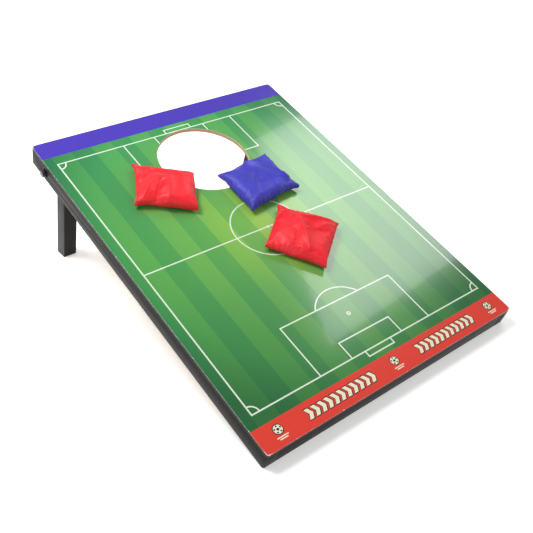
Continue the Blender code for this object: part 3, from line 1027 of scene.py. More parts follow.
@dataclass
class PitchMarkings:
    """The white lines of the pitch, as thin closed layers of ink on the film."""

    deck: DeckFrame
    film: PrintedFilm
    line: float = 2.05 * MM
    touch_x: float = 214.0 * MM
    goal_y: float = 247.0 * MM
    box_x: float = 103.0 * MM
    box_y: float = 161.3 * MM
    small_box_x: float = 47.2 * MM
    small_box_y: float = 219.0 * MM
    net_x: float = 23.7 * MM
    net_depth: float = 9.0 * MM
    circle_radius: float = 57.3 * MM
    spot_y: float = 186.6 * MM
    spot_radius: float = 2.6 * MM
    spot_line: float = 1.7 * MM
    dot_radius: float = 2.3575 * MM
    dot_height: float = 0.16 * MM
    dot_lift: float = 0.01 * MM
    dot_sides: int = 32
    arc_radius: float = 47.4 * MM
    corner_radius: float = 12.0 * MM
    arc_step: float = 2.0 * MM
    ring_weld: float = 0.01 * MM
    hole_gap: float = 0.4 * MM
    white: str = "#E2F0DC"

    def build(self) -> None:
        """Build the straight lines, the round lines and the spots, and clear them from the hole."""
        ink = ScreenInk(self.white).material("white_screen_ink", self.deck)
        for marks in (self.straight_lines(), self.round_lines()):
            marks.data.materials.append(ink)
            carve(marks, self.film.hole_tool(self.hole_gap))
            self.deck.mount(marks, "board")

    def straight_lines(self) -> bpy.types.Object:
        """Divide a plane along both edges of every line, drop what is no line and raise the rest."""
        half = self.line / 2.0
        deselect_all()
        bpy.ops.mesh.primitive_plane_add(size=1.0)
        lines = added("pitch_straight_lines")
        lines.scale = (2.0 * (self.touch_x + half), 2.0 * (self.goal_y + self.net_depth + half), 1.0)
        bake_transform(lines)
        xs = (self.touch_x, self.box_x, self.small_box_x, self.net_x)
        ys = (self.goal_y + self.net_depth, self.goal_y, self.small_box_y, self.box_y)
        cuts = [((side * x + edge * half, 0.0, 0.0), AXIS_X) for x in xs for side in SIGNS for edge in SIGNS]
        cuts += [((0.0, side * y + edge * half, 0.0), AXIS_Y) for y in ys for side in SIGNS for edge in SIGNS]
        cuts += [((0.0, edge * half, 0.0), AXIS_Y) for edge in SIGNS]
        edit(lines)
        for point, normal in cuts:
            bpy.ops.mesh.select_all(action="SELECT")
            bpy.ops.mesh.bisect(plane_co=point, plane_no=normal, threshold=MERGE_GAP)
        leave_edit()
        select_parts(lines, "FACE", lambda p: not self.is_line(abs(p.x), abs(p.y)))
        bpy.ops.mesh.delete(type="FACE")
        leave_edit()
        return raised(lines, Layer.MAIN_LINES)

    def is_line(self, x: float, y: float) -> bool:
        """Whether a point, in the quarter with both signs dropped, is on a straight line."""
        half = self.line / 2.0
        outline = x < self.touch_x + half and y < self.goal_y + half
        outline = outline and (x > self.touch_x - half or y > self.goal_y - half)
        halfway = y < half and x < self.touch_x
        box = self.on_box(x, y, self.box_x, self.box_y)
        small = self.on_box(x, y, self.small_box_x, self.small_box_y)
        net_end = self.goal_y + self.net_depth - half
        net = y > self.goal_y and x < self.net_x + half and (x > self.net_x - half or y > net_end)
        return outline or halfway or box or small or net

    def on_box(self, x: float, y: float, box_x: float, box_y: float) -> bool:
        """Whether a point is on a penalty or goal box, which is open at the goal line."""
        half = self.line / 2.0
        inside = x < box_x + half and box_y - half < y < self.goal_y
        return inside and (x > box_x - half or y < box_y + half)

    def round_lines(self) -> bpy.types.Object:
        """Sweep the centre circle, the arcs by the boxes and corners, and add the spots."""
        reach = math.acos((self.spot_y - self.box_y) / self.arc_radius)
        spot = (0.0, -self.spot_y)
        parts = [self.ring("centre_circle", self.circle_radius, (0.0, 0.0), 0.0, FULL_TURN),
                 self.ring("front_spot", self.spot_radius, spot, 0.0, FULL_TURN, self.spot_line),
                 self.ring("front_arc", self.arc_radius, spot, QUARTER_TURN - reach, 2.0 * reach)]
        for number, (side, end) in enumerate(((1.0, 1.0), (-1.0, 1.0), (-1.0, -1.0), (1.0, -1.0))):
            start = math.pi + number * QUARTER_TURN
            corner = (side * self.touch_x, end * self.goal_y)
            name = f"corner_arc_{number + 1}"
            parts.append(self.ring(name, self.corner_radius, corner, start, QUARTER_TURN))
        marks = raised(join("pitch_round_lines", parts), Layer.ROUND_LINES)
        dot = rod("centre_spot", self.dot_radius, self.dot_height, self.dot_sides, (0.0, 0.0, self.dot_lift))
        return join("pitch_round_lines", [marks, dot])

    def ring(self, name: str, radius: float, centre: tuple[float, float], start: float, turn: float,
             width: float = 0.0) -> bpy.types.Object:
        """Spin a short edge into a flat ring or arc.

        Args:
            name: The piece's name.
            radius: Radius of the middle of the line.
            centre: Where it is centred on the deck.
            start: The angle it starts at, from X.
            turn: How far it goes round.
            width: The line's width, or zero for the usual width.

        Returns:
            The flat ring or arc, its faces up.
        """
        half = (width or self.line) / 2.0
        outwards = Vector((math.cos(start), math.sin(start), 0.0))
        inner = outwards * (radius - half)
        step = outwards * 2.0 * half
        middle = Vector((centre[0], centre[1], 0.0))
        deselect_all()
        bpy.ops.mesh.primitive_plane_add(size=MM, location=middle + inner)
        arc = bake_transform(added(name))
        edit(arc)
        bpy.ops.mesh.merge(type="CENTER")
        bpy.ops.mesh.extrude_vertices_move(TRANSFORM_OT_translate={"value": step})
        bpy.ops.mesh.select_all(action="SELECT")
        steps = max(8, int(radius * turn / self.arc_step))
        bpy.ops.mesh.spin(steps=steps, angle=-turn, center=middle, axis=AXIS_Z)
        bpy.ops.mesh.select_all(action="SELECT")
        bpy.ops.mesh.remove_doubles(threshold=self.ring_weld)
        leave_edit()
        return arc


@dataclass
class BandArtwork:
    """Plain artwork on the red band: two rows of chevrons and three ball badges."""

    deck: DeckFrame
    row_centres: tuple[float, float] = (-98.5 * MM, 100.5 * MM)
    row_length: float = 118.0 * MM
    chevrons: int = 11
    chevron_height: float = 15.0 * MM
    chevron_width: float = 6.0 * MM
    chevron_lean: float = 4.0 * MM
    outline: float = 1.2 * MM
    row_y: float = -281.5 * MM
    badge_xs: tuple[float, float, float] = (-198.0 * MM, 2.0 * MM, 200.0 * MM)
    ball_radius: float = 6.2 * MM
    ball_y: float = -278.0 * MM
    ball_sides: int = 40
    middle_patch: float = 0.34
    rim_patch: float = 0.22
    rim_patch_reach: float = 0.72
    rules: tuple[tuple[float, float], ...] = ((10.2 * MM, 17.0 * MM), (13.0 * MM, 12.0 * MM))
    rule_height: float = 1.5 * MM
    cream: str = "#F6EFCF"
    black: str = "#1A1518"

    def build(self) -> None:
        """Build the dark outlines, then the pale faces, then the dark details on them."""
        pale = ScreenInk(self.cream).material("cream_screen_ink", self.deck)
        dark = ScreenInk(self.black).material("black_screen_ink", self.deck)
        backs = [self.chevron(x, self.outline, Layer.OUTLINE) for x in self.chevron_xs()]
        backs += [self.disc(x, self.ball_radius + self.outline, Layer.OUTLINE) for x in self.badge_xs]
        fronts = [self.chevron(x, 0.0, Layer.FACE) for x in self.chevron_xs()]
        fronts += [self.disc(x, self.ball_radius, Layer.FACE) for x in self.badge_xs]
        fronts += [self.bar(x, drop, width) for x in self.badge_xs for drop, width in self.rules]
        details = [patch for x in self.badge_xs for patch in self.ball_patches(x)]
        for name, parts, ink in (("band_outlines", backs, dark), ("band_faces", fronts, pale),
                                 ("band_ball_patches", details, dark)):
            art = join(name, parts)
            art.data.materials.clear()
            art.data.materials.append(ink)
            self.deck.mount(art, "board")

    def chevron_xs(self) -> list[float]:
        """Where the chevrons stand along the band."""
        pitch = self.row_length / self.chevrons
        first = -pitch * (self.chevrons - 1) / 2.0
        return [middle + first + pitch * i for middle in self.row_centres for i in range(self.chevrons)]

    def chevron(self, x: float, grow: float, layer: Layer) -> bpy.types.Object:
        """A plane bent at its middle into an arrow that points right.

        Args:
            x: Where it stands along the band.
            grow: How much larger it is on every side.
            layer: How high it is raised.

        Returns:
            The chevron.
        """
        deselect_all()
        bpy.ops.mesh.primitive_plane_add(size=1.0, location=(x, self.row_y, 0.0))
        item = added("chevron")
        item.scale = (self.chevron_width + 2.0 * grow, self.chevron_height + 2.0 * grow, 1.0)
        bake_transform(item)
        edit(item)
        bpy.ops.mesh.bisect(plane_co=(x, self.row_y, 0.0), plane_no=AXIS_Y)
        leave_edit()
        select_parts(item, "VERT", lambda p: abs(p.y - self.row_y) < 0.1 * MM)
        bpy.ops.transform.translate(value=(self.chevron_lean, 0.0, 0.0))
        leave_edit()
        return raised(item, layer)

    def disc(self, x: float, radius: float, layer: Layer) -> bpy.types.Object:
        """A round ball face."""
        deselect_all()
        bpy.ops.mesh.primitive_circle_add(vertices=self.ball_sides, radius=radius, fill_type="NGON",
                                          location=(x, self.ball_y, 0.0))
        return raised(bake_transform(added("ball")), layer)

    def bar(self, x: float, drop: float, width: float) -> bpy.types.Object:
        """A short rule under a ball."""
        deselect_all()
        bpy.ops.mesh.primitive_plane_add(size=1.0, location=(x, self.ball_y - drop, 0.0))
        item = added("rule")
        item.scale = (width, self.rule_height, 1.0)
        return raised(bake_transform(item), Layer.FACE)

    def ball_patches(self, x: float) -> list[bpy.types.Object]:
        """Five five-sided patches around a ball's rim, and a larger one in its middle."""
        patches = []
        for number in range(6):
            in_middle = number == 5
            angle = FULL_TURN * (number / 5.0 + 0.25)
            away = 0.0 if in_middle else self.ball_radius * self.rim_patch_reach
            size = self.ball_radius * (self.middle_patch if in_middle else self.rim_patch)
            place = (x + away * math.cos(angle), self.ball_y + away * math.sin(angle), 0.0)
            deselect_all()
            bpy.ops.mesh.primitive_circle_add(vertices=5, radius=size, fill_type="NGON", location=place)
            patches.append(raised(bake_transform(added("patch")), Layer.DETAIL))
        return patches


@dataclass
class TopBoard:
    """The fibreboard panel under the film, painted on its outer edge and raw in the hole and below."""

    deck: DeckFrame
    film: PrintedFilm
    corner: float = 3.0 * MM
    arris: float = 0.4 * MM
    seam: float = 0.06 * MM

    def build(self, paint: bpy.types.Material) -> bpy.types.Object:
        """Build the panel, reaching to the film above it and the rails below it."""
        low, high = self.deck.box_of("top_panel")
        film_low = self.deck.box_of("printed_film")[0]
        rail_high = self.deck.box_of("front_rail")[1]
        low.z = rail_high.z + self.seam
        high.z = film_low.z
        board = box_piece("deck_board", low, high)
        select_parts(board, "EDGE", lambda p: abs(p.x) > high.x - MM and abs(p.y) > high.y - MM)
        bpy.ops.mesh.bevel(offset=self.corner, segments=6, affect="EDGES")
        leave_edit()
        carve(board, self.film.hole_tool())
        radius = self.film.hole_radius
        middle = Vector((0.0, self.film.hole_centre_y, low.z))
        select_parts(board, "EDGE", lambda p: abs(p.z - low.z) < 0.1 * MM
                     and abs((p - middle).length - radius) < 0.2 * MM)
        bpy.ops.mesh.bevel(offset=self.arris, segments=2, affect="EDGES")
        leave_edit()
        smooth(board)
        board.data.materials.append(Fibreboard().material("raw_medium_density_fibreboard", self.deck))
        board.data.materials.append(paint)
        rim = self.corner + MM
        for face in board.data.polygons:
            edge = abs(face.center.x) > high.x - rim or abs(face.center.y) > high.y - rim
            face.material_index = 1 if edge and abs(face.normal.z) < 0.5 else 0
        return self.deck.mount(board, "board", "top_panel")


# ---------------------------------------------------------------------------
# The frame, legs and hardware


@dataclass
class Joinery:
    """The frame's rails, blocks and legs: each CAD solid's own shape with its arrises eased."""

    deck: DeckFrame
    weld: float = 0.005 * MM
    ease: float = 0.4 * MM
    rail_ease: float = 0.18 * MM
    ease_steps: int = 3

    def eased(self, node: str, name: str, material: bpy.types.Material, slot: str, body: str,
              ease: float = 0.0) -> bpy.types.Object:
        """Copy a CAD node, heal its mesh, round its edges and dress it.

        Args:
            node: The CAD node it stands for.
            name: The new piece's name.
            material: Its finish.
            slot: The record's material slot; not used.
            body: The body it rides on.
            ease: The width of the rounding, or zero for the usual width.

        Returns:
            The finished piece.
        """
        piece = copy_of(self.deck.nodes[node], name)
        piece.parent = None
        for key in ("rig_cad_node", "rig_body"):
            if key in piece:
                del piece[key]
        piece.hide_render = False
        edit(piece)
        bpy.ops.mesh.remove_doubles(threshold=self.weld)
        bpy.ops.mesh.dissolve_limited(angle_limit=math.radians(1.0))
        leave_edit()
        apply_modifier(piece, "BEVEL", width=ease or self.ease, segments=self.ease_steps,
                       limit_method="ANGLE", angle_limit=math.radians(40.0), harden_normals=False,
                       use_clamp_overlap=True)
        smooth(piece)
        piece.data.materials.clear()
        piece.data.materials.append(material)
        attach(piece, body)
        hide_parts(node)
        LOG.info("%s rides on %s, %d faces", name, body, len(piece.data.polygons))
        return piece

    def build(self, paint_long: bpy.types.Material, paint_cross: bpy.types.Material,
              paint_leg: bpy.types.Material) -> None:
        """Dress the rails, the blocks and the legs."""
        pine = PlanedPine().material("planed_pine", self.deck)
        for hand in Hand:
            side = hand.prefix
            self.eased(f"{side}_side_rail", f"{side}_painted_rail", paint_long, "black_paint", "board",
                       self.rail_ease)
            self.eased(f"front_{side}_post", f"front_{side}_corner_block", pine, "raw_wood", "board")
            self.eased(f"{side}_leg_stop", f"{side}_stop_block", pine, "raw_wood", "board")
            self.eased(f"{side}_leg", f"{side}_painted_leg", paint_leg, "black_paint", f"{side}_leg")
        for end in ("front", "rear"):
            self.eased(f"{end}_rail", f"{end}_painted_rail", paint_cross, "black_paint", "board",
                       self.rail_ease)


@dataclass
class PivotHardware:
    """A leg's bolt, washers, spacer and lock nut, seen end on at the side rail."""

    deck: DeckFrame
    joinery: Joinery
    hex_across: float = 10.0 * MM
    head_height: float = 4.0 * MM
    head_chamfer: float = 0.9 * MM
    shank_radius: float = 3.0 * MM
    thread_pitch: float = 1.0 * MM
    thread_depth: float = 0.5 * MM
    thread_turns: int = 16
    lead_in: float = 0.6 * MM
    washer_ease: float = 0.2 * MM
    spacer_ease: float = 0.3 * MM
    nut_ease: float = 0.25 * MM

    def build(self) -> None:
        """Build both sides' hardware."""
        blacked = PlatedSteel("#35343A", "#232328", 0.38).material("black_oxide_steel")
        zinc = PlatedSteel("#72747A", "#5F6269", 0.34).material("bright_zinc_plated_steel")
        nylon = MouldedNylon("#E4E1D8").material("moulded_nylon")
        parts = (("outer_washer", "head_washer", blacked, "blacked_steel", self.washer_ease),
                 ("leg_spacer", "nylon_spacer", nylon, "nylon", self.spacer_ease),
                 ("inner_washer", "nut_washer", zinc, "zinc_steel", self.washer_ease),
                 ("lock_nut", "collared_nut", zinc, "zinc_steel", self.nut_ease))
        for hand in Hand:
            side = hand.prefix
            self.bolt(hand, zinc)
            for node, name, material, slot, ease in parts:
                self.joinery.eased(f"{side}_{node}", f"{side}_{name}", material, slot, "board", ease)

    def bolt(self, hand: Hand, steel: bpy.types.Material) -> bpy.types.Object:
        """A hexagon bolt: a head with its corners turned off, and a threaded shank.

        Args:
            hand: The side of the board it is on.
            steel: Its finish.

        Returns:
            The bolt.
        """
        node = f"{hand.prefix}_pivot_bolt"
        low, high = self.deck.box_of(node)
        head = self.head_height
        corner = self.hex_across / math.sqrt(3.0)
        body = rod("hex_body", corner, head, 6, (0.0, 0.0, -head / 2.0))
        face = self.hex_across / 2.0 * 0.92
        wide = corner * 1.02
        profile = [(0.0, 0.0), (face, 0.0), (wide, -self.head_chamfer), (wide, -head), (0.0, -head)]
        carve(body, turned("head_turning", profile, 64), "INTERSECT")
        carve(body, turned("shank_turning", self.shank_outline(high.x - low.x), 40), "UNION")
        piece = named(body, f"{hand.prefix}_hex_bolt")
        middle = (low + high) / 2.0
        outer = high.x if hand is Hand.RIGHT else low.x
        piece.data.transform(Matrix.Rotation(hand.value * QUARTER_TURN, 4, "Y"))
        piece.data.transform(Matrix.Translation((outer, middle.y, middle.z)))
        outward(piece)
        smooth(piece, 30.0)
        piece.data.materials.clear()
        piece.data.materials.append(steel)
        return self.deck.mount(piece, "board", node)

    def shank_outline(self, length: float) -> list[tuple[float, float]]:
        """The shank's outline, from inside the head to the bolt's end, threaded near the end."""
        inside_head = -self.head_height + 0.2 * MM
        core = self.shank_radius - self.thread_depth
        start = -(length - self.thread_turns * self.thread_pitch - self.lead_in)
        outline = [(0.0, inside_head), (self.shank_radius, inside_head), (self.shank_radius, start)]
        for turn in range(self.thread_turns):
            z = start - turn * self.thread_pitch
            outline += [(core, z - self.thread_pitch / 2.0), (self.shank_radius, z - self.thread_pitch)]
        return outline + [(core, -length + 0.1 * MM), (core - 0.2 * MM, -length), (0.0, -length)]


@dataclass
class WoodScrews:
    """The frame's countersunk screws, each with a cross recess."""

    deck: DeckFrame
    head_radius: float = 3.5 * MM
    shank_radius: float = 1.75 * MM
    head_depth: float = 2.0 * MM
    recess_width: float = 0.9 * MM
    recess_reach: float = 2.1 * MM
    recess_depth: float = 1.1 * MM
    thread_pitch: float = 1.4 * MM
    thread_start: float = 0.35
    thread_share: float = 0.5
    point_start: float = 0.93

    def build(self) -> None:
        """Model each length of screw once and put a copy at every CAD screw."""
        steel = PlatedSteel("#C2B48A", "#9C8F6C", 0.34).material("yellow_zinc_plated_steel")
        for kind in ("panel_screw", "block_screw"):
            nodes = sorted(name for name in self.deck.nodes if name.startswith(kind))
            low, high = self.deck.box_of(nodes[0])
            pattern = self.pattern(max(high - low))
            pattern.data.materials.clear()
            pattern.data.materials.append(steel)
            for node in nodes:
                screw = copy_of(pattern, node.replace("screw", "wood_screw"))
                screw.data.transform(self.place_of(node))
                self.deck.mount(screw, "board", node)
            bpy.data.objects.remove(pattern)

    def pattern(self, length: float) -> bpy.types.Object:
        """One screw, head up at the origin, with its recess cut and its thread turned.

        Args:
            length: The screw's whole length.

        Returns:
            The screw.
        """
        shank, pitch = self.shank_radius, self.thread_pitch
        start = -length * self.thread_start
        profile = [(0.0, 0.0), (self.head_radius - 0.1 * MM, 0.0), (self.head_radius, -0.2 * MM),
                   (shank, -self.head_depth), (shank, start)]
        for turn in range(int(length * self.thread_share / pitch)):
            z = start - turn * pitch
            profile += [(shank * 0.7, z - 0.5 * MM), (shank, z - 1.2 * MM), (shank * 0.95, z - pitch)]
        profile += [(shank * 0.6, -length * self.point_start), (0.0, -length)]
        screw = turned("screw_pattern", profile, 24)
        half = Vector((self.recess_reach, self.recess_width / 2.0, self.recess_depth))
        across = Vector((half.y, half.x, half.z))
        for arm in (half, across):
            carve(screw, box_piece("recess_tool", -arm, arm))
        outward(screw)
        smooth(screw)
        return screw

    def place_of(self, node: str) -> Matrix:
        """Where a screw's head is and which way it points, from its CAD solid's own ends.

        Args:
            node: The CAD screw's name.

        Returns:
            The transform of a screw from the origin, head up.
        """
        inverse = self.deck.matrix().inverted()
        points = [inverse @ vertex.co for vertex in self.deck.nodes[node].data.vertices]
        low, high = self.deck.box_of(node)
        size = high - low
        axis = max(range(3), key=lambda i: size[i])
        middle = (low + high) / 2.0
        ends = []
        for limit in (low[axis], high[axis]):
            ring = [p - middle for p in points if abs(p[axis] - limit) < 0.01 * MM]
            radii = (Vector(p[i] for i in range(3) if i != axis).length for p in ring)
            ends.append(max(radii, default=0.0))
        head_high = ends[1] > ends[0]
        head = middle.copy()
        head[axis] = high[axis] if head_high else low[axis]
        out = Vector((0.0, 0.0, 0.0))
        out[axis] = 1.0 if head_high else -1.0
        return Matrix.Translation(head) @ out.to_track_quat("Z", "Y").to_matrix().to_4x4()


# ---------------------------------------------------------------------------
# The bean bags


def clamped(value: float) -> float:
    """A value kept between zero and one."""
    return min(1.0, max(0.0, value))


@dataclass(frozen=True)
class Crease:
    """A fold in a bag's top, its ends and width in shares of the bag's side, its height in metres."""

    start: tuple[float, float]
    end: tuple[float, float]
    height: float
    width: float = 0.05

    def lift(self, u: float, v: float) -> float:
        """How far the fold moves a point out: most on its line, fading to both ends and sideways.

        Args:
            u: The point's share of the way across the sheet.
            v: Its share of the way up the sheet.

        Returns:
            The distance in metres, below zero for a dip.
        """
        a, b, p = Vector(self.start), Vector(self.end), Vector((u, v))
        along = (p - a).dot(b - a) / (b - a).length_squared
        near = a + (b - a) * clamped(along)
        taper = math.sin(math.pi * clamped(along)) ** 0.5 if 0.0 < along < 1.0 else 0.0
        return self.height * taper * math.exp(-(p - near).length / self.width)


@dataclass
class BeanBag:
    """A sewn square bag: two sheets blown up as cloth, settled on the deck, creased and stitched.

    The corners are in the deck's plane, from the middle of the bag's CAD box, front left first and
    then round. The ears are how far each corner's tip stands out, in the same order, and the puckers
    how strong they are along each side, front, right, rear and left.
    """

    deck: DeckFrame
    node: str
    name: str
    body: str
    slot: str
    corners: tuple[tuple[float, float], tuple[float, float], tuple[float, float], tuple[float, float]]
    cloth: WovenNylon
    thread: str
    creases: tuple[Crease, ...]
    seed: float
    ears: tuple[float, float, float, float]
    puckers: tuple[float, float, float, float]
    cells: int = 56
    side: float = 100.0 * MM
    fill: float = 0.7
    # The simulation, ten times full size.
    frames: int = 18
    sheet_gap: float = 0.03
    ripple: float = 0.012
    ripple_rate: float = 5.0
    mass: float = 0.3
    stretch_stiffness: float = 40.0
    shear_stiffness: float = 16.0
    bending_stiffness: float = 0.05
    growth: float = 0.03
    pressure: float = 1.1
    # The shape at rest on the deck.
    seam_share: float = 0.34
    crown_power: float = 1.75
    belly_power: float = 1.8
    slump: float = 0.5
    ear_reach: float = 0.09
    let_out: float = 0.92
    # The surface.
    lump: float = 1.1 * MM
    lump_mm: float = 22.0
    wrinkle: float = 0.7 * MM
    wrinkle_mm: float = 34.0
    wrinkle_slope: float = 3.2
    plain_rim: float = 12.0 * MM
    pucker: float = 0.75 * MM
    pucker_pitch: float = 8.0 * MM
    pucker_reach: float = 7.0 * MM
    drift_mm: float = 18.0
    patch_mm: float = 26.0
    stitch_pitch: float = 4.0 * MM
    stitch_inset: float = 3.0 * MM
    stitch_length: float = 2.4 * MM
    stitch_radius: float = 0.3 * MM
    stitch_height: float = 0.12 * MM

    def build(self) -> bpy.types.Object:
        """Make the bag and its stitches and put them on the deck."""
        cover = self.sheets()
        self.blow_up(cover)
        self.settle(cover)
        apply_modifier(cover, "SUBSURF", levels=1, render_levels=1)
        self.crease(cover)
        smooth(cover, 80.0)
        stitches = self.stitches(cover)
        cover.data.materials.append(self.cloth.material(f"woven_nylon_{self.name}"))
        self.deck.mount(cover, self.body, self.node)
        self.deck.mount(stitches, self.body)
        return cover

    def sheets(self) -> bpy.types.Object:
        """Two square sheets joined at their rim, ten times full size for a steady simulation."""
        deselect_all()
        bpy.ops.mesh.primitive_grid_add(x_subdivisions=self.cells, y_subdivisions=self.cells, size=1.0,
                                        calc_uvs=True)
        cover = added(self.name)
        for vertex in cover.data.vertices:
            x, y = vertex.co.x * self.ripple_rate, vertex.co.y * self.ripple_rate
            vertex.co.z += self.ripple * noise.noise(Vector((x + self.seed, y, self.seed)))
        apply_modifier(cover, "SOLIDIFY", thickness=self.sheet_gap, offset=0.0)
        return cover

    def blow_up(self, cover: bpy.types.Object) -> None:
        """Run the cloth with pressure inside and no gravity, and keep its last shape."""
        take(cover)
        modifier = cover.modifiers.new("cloth", "CLOTH")
        settings = modifier.settings
        settings.quality = 6
        settings.mass = self.mass
        settings.tension_stiffness = self.stretch_stiffness
        settings.compression_stiffness = self.stretch_stiffness
        settings.shear_stiffness = self.shear_stiffness
        settings.bending_stiffness = self.bending_stiffness
        settings.shrink_min = -self.growth
        settings.use_pressure = True
        settings.uniform_pressure_force = self.pressure
        settings.effector_weights.gravity = 0.0
        modifier.collision_settings.use_collision = False
        modifier.point_cache.frame_start = 1
        modifier.point_cache.frame_end = self.frames + 4
        for frame in range(1, self.frames + 1):
            bpy.context.scene.frame_set(frame)
        bpy.ops.object.modifier_apply(modifier=modifier.name)
        bpy.context.scene.frame_set(1)

    def settle(self, cover: bpy.types.Object) -> None:
        """Fit the blown shape to the bag's corners, flatten its belly and let its crown slump forward."""
        low, high = self.deck.box_of(self.node)
        middle = (low + high) / 2.0
        seam = low.z + (high.z - low.z) * self.seam_share
        points = [vertex.co for vertex in cover.data.vertices]
        reach = max(max(abs(p.x), abs(p.y)) for p in points)
        top = max(p.z for p in points)
        bottom = -min(p.z for p in points)
        spots = self.spots(cover)
        for number, p in enumerate(points):
            blown = (p.x / reach / 2.0 + 0.5, p.y / reach / 2.0 + 0.5)
            u, v = (here + (square - here) * self.let_out for here, square in zip(blown, spots[number]))
            flat = self.on_deck(u, v)
            if p.z >= 0.0:
                crown = (high.z - seam) * (1.0 - (1.0 - p.z / top) ** self.crown_power)
                uphill = clamped(flat.y / (high.y - low.y) + 0.5)
                z = seam + crown * (1.0 - self.slump * uphill ** 2)
            else:
                z = seam - (seam - low.z) * (1.0 - (1.0 + p.z / bottom) ** self.belly_power)
            p.xyz = (middle.x + flat.x, middle.y + flat.y, z)

    def spots(self, cover: bpy.types.Object) -> dict[int, tuple[float, float]]:
        """Each vertex's place on its square sheet, from the sheet's UV map."""
        mesh = cover.data
        places = mesh.uv_layers.active.data
        return {loop.vertex_index: (place.uv.x, place.uv.y) for loop, place in zip(mesh.loops, places)}

    def on_deck(self, u: float, v: float) -> Vector:
        """Where a point of the square lands, between the bag's four corners.

        Args:
            u: The point's share of the way across the square.
            v: Its share of the way up the square.

        Returns:
            Its place in the deck's plane, from the middle of the bag's box.
        """
        tips = [Vector(corner) for corner in self.corners]
        outs = [tip.normalized() * ear for tip, ear in zip(tips, self.ears)]
        front_left, front_right, rear_right, rear_left = (tip - out for tip, out in zip(tips, outs))
        flat = front_left.lerp(front_right, u).lerp(rear_left.lerp(rear_right, u), v)
        for (corner_u, corner_v), out in zip(((0, 0), (1, 0), (1, 1), (0, 1)), outs):
            away = math.hypot(u - corner_u, v - corner_v)
            flat += out * math.exp(-(away / self.ear_reach) ** 2)
        return flat

    def crease(self, cover: bpy.types.Object) -> None:
        """Move points along their normals: folds, the filling's lumps, wrinkles, and puckers by the seam."""
        mesh = cover.data
        spots = self.spots(cover)
        floor = self.deck.box_of(self.node)[0].z
        normals = [vertex.normal.copy() for vertex in mesh.vertices]
        for vertex, normal in zip(mesh.vertices, normals):
            u, v = spots[vertex.index]
            edge_u, edge_v = min(u, 1.0 - u), min(v, 1.0 - v)
            to_edge = min(edge_u, edge_v) * self.side
            along_u = edge_v <= edge_u
            run = (u if along_u else v) * self.side
            number = (0 if v < 0.5 else 2) if along_u else (3 if u < 0.5 else 1)
            upper = clamped(normal.z * 2.0 + 0.2)
            where = Vector((vertex.co.x, vertex.co.y, self.seed))
            lift = upper * sum(fold.lift(u, v) for fold in self.creases)
            lift += upper * self.roughen(where, min(1.0, to_edge / self.plain_rim))
            lift += self.puckers[number] * self.pucker_lift(where, run, to_edge)
            vertex.co += normal * lift
            vertex.co.z = max(vertex.co.z, floor)
        mesh.update()

    def roughen(self, where: Vector, inside: float) -> float:
        """The filling's lumps and the sharp small wrinkles, fading out at the rim.

        Args:
            where: The point, with the bag's seed as its height.
            inside: One on the bag's face, falling to zero at its rim.

        Returns:
            How far the point moves out.
        """
        lumps = self.lump * noise.noise(where * per_metre(self.lump_mm))
        bend = noise.noise(where * per_metre(self.wrinkle_mm) + Vector((0.0, 3.0, 0.0)))
        return inside * (lumps + self.wrinkle * max(0.0, 1.0 - self.wrinkle_slope * abs(bend)) ** 1.6)

    def pucker_lift(self, where: Vector, run: float, to_edge: float) -> float:
        """The puckers that the seam draws in, a wave along the seam that is uneven and drifts.

        Args:
            where: The point, with the bag's seed as its height.
            run: How far along the nearest side it is.
            to_edge: How far from that side it is.

        Returns:
            How far the point moves out.
        """
        drift = 7.0 * noise.noise(where * per_metre(self.drift_mm))
        wave = math.sin(FULL_TURN * run / self.pucker_pitch + drift)
        patches = noise.noise(where * per_metre(self.patch_mm) + Vector((7.0, 0.0, 0.0)))
        from_seam = (to_edge - self.stitch_inset) / self.pucker_reach
        return self.pucker * max(0.0, 0.5 + 1.3 * patches) * wave * math.exp(-from_seam ** 2)

    def stitches(self, cover: bpy.types.Object) -> bpy.types.Object:
        """A line of short stitches that follows the top face inside the seam.

        Args:
            cover: The finished bag.

        Returns:
            All the stitches as one piece.
        """
        mesh = cover.data
        steps = self.cells * 2
        lookup: dict[tuple[int, int], tuple[Vector, Vector]] = {}
        for loop, place in zip(mesh.loops, mesh.uv_layers.active.data):
            vertex = mesh.vertices[loop.vertex_index]
            if vertex.normal.z > 0.0:
                grid_place = (round(place.uv.x * steps), round(place.uv.y * steps))
                lookup[grid_place] = (vertex.co.copy(), vertex.normal.copy())
        inset = round(self.stitch_inset / self.side * steps)
        stride = max(2, round(self.stitch_pitch / self.side * steps))
        pattern = self.stitch_pattern()
        made = []
        for side in range(4):
            for step in range(inset + 1, steps - inset - 1, stride):
                here, there = (self.rim(side, step + ahead, inset, steps) for ahead in (0, 1))
                if here not in lookup or there not in lookup:
                    continue
                point, normal = lookup[here]
                along = (lookup[there][0] - point).normalized()
                across = normal.cross(along).normalized()
                turn = Matrix((along, across, along.cross(across))).transposed().to_4x4()
                stitch = copy_of(pattern, f"stitch_{len(made)}")
                stitch.data.transform(Matrix.Translation(point + normal * self.stitch_height) @ turn)
                made.append(stitch)
        bpy.data.objects.remove(pattern)
        return join(f"{self.name}_stitching", made)

    def stitch_pattern(self) -> bpy.types.Object:
        """One stitch along X: a short round length of thread with eased ends."""
        pattern = rod("stitch", self.stitch_radius, self.stitch_length, 6, (0.0, 0.0, 0.0), along_x=True)
        edit(pattern)
        bpy.ops.mesh.bevel(offset=self.stitch_radius / 2.0, segments=1, affect="EDGES")
        leave_edit()
        smooth(pattern, 70.0)
        thread = MouldedNylon(self.thread, 0.3).material(f"nylon_thread_{self.name}")
        pattern.data.materials.append(thread)
        return pattern

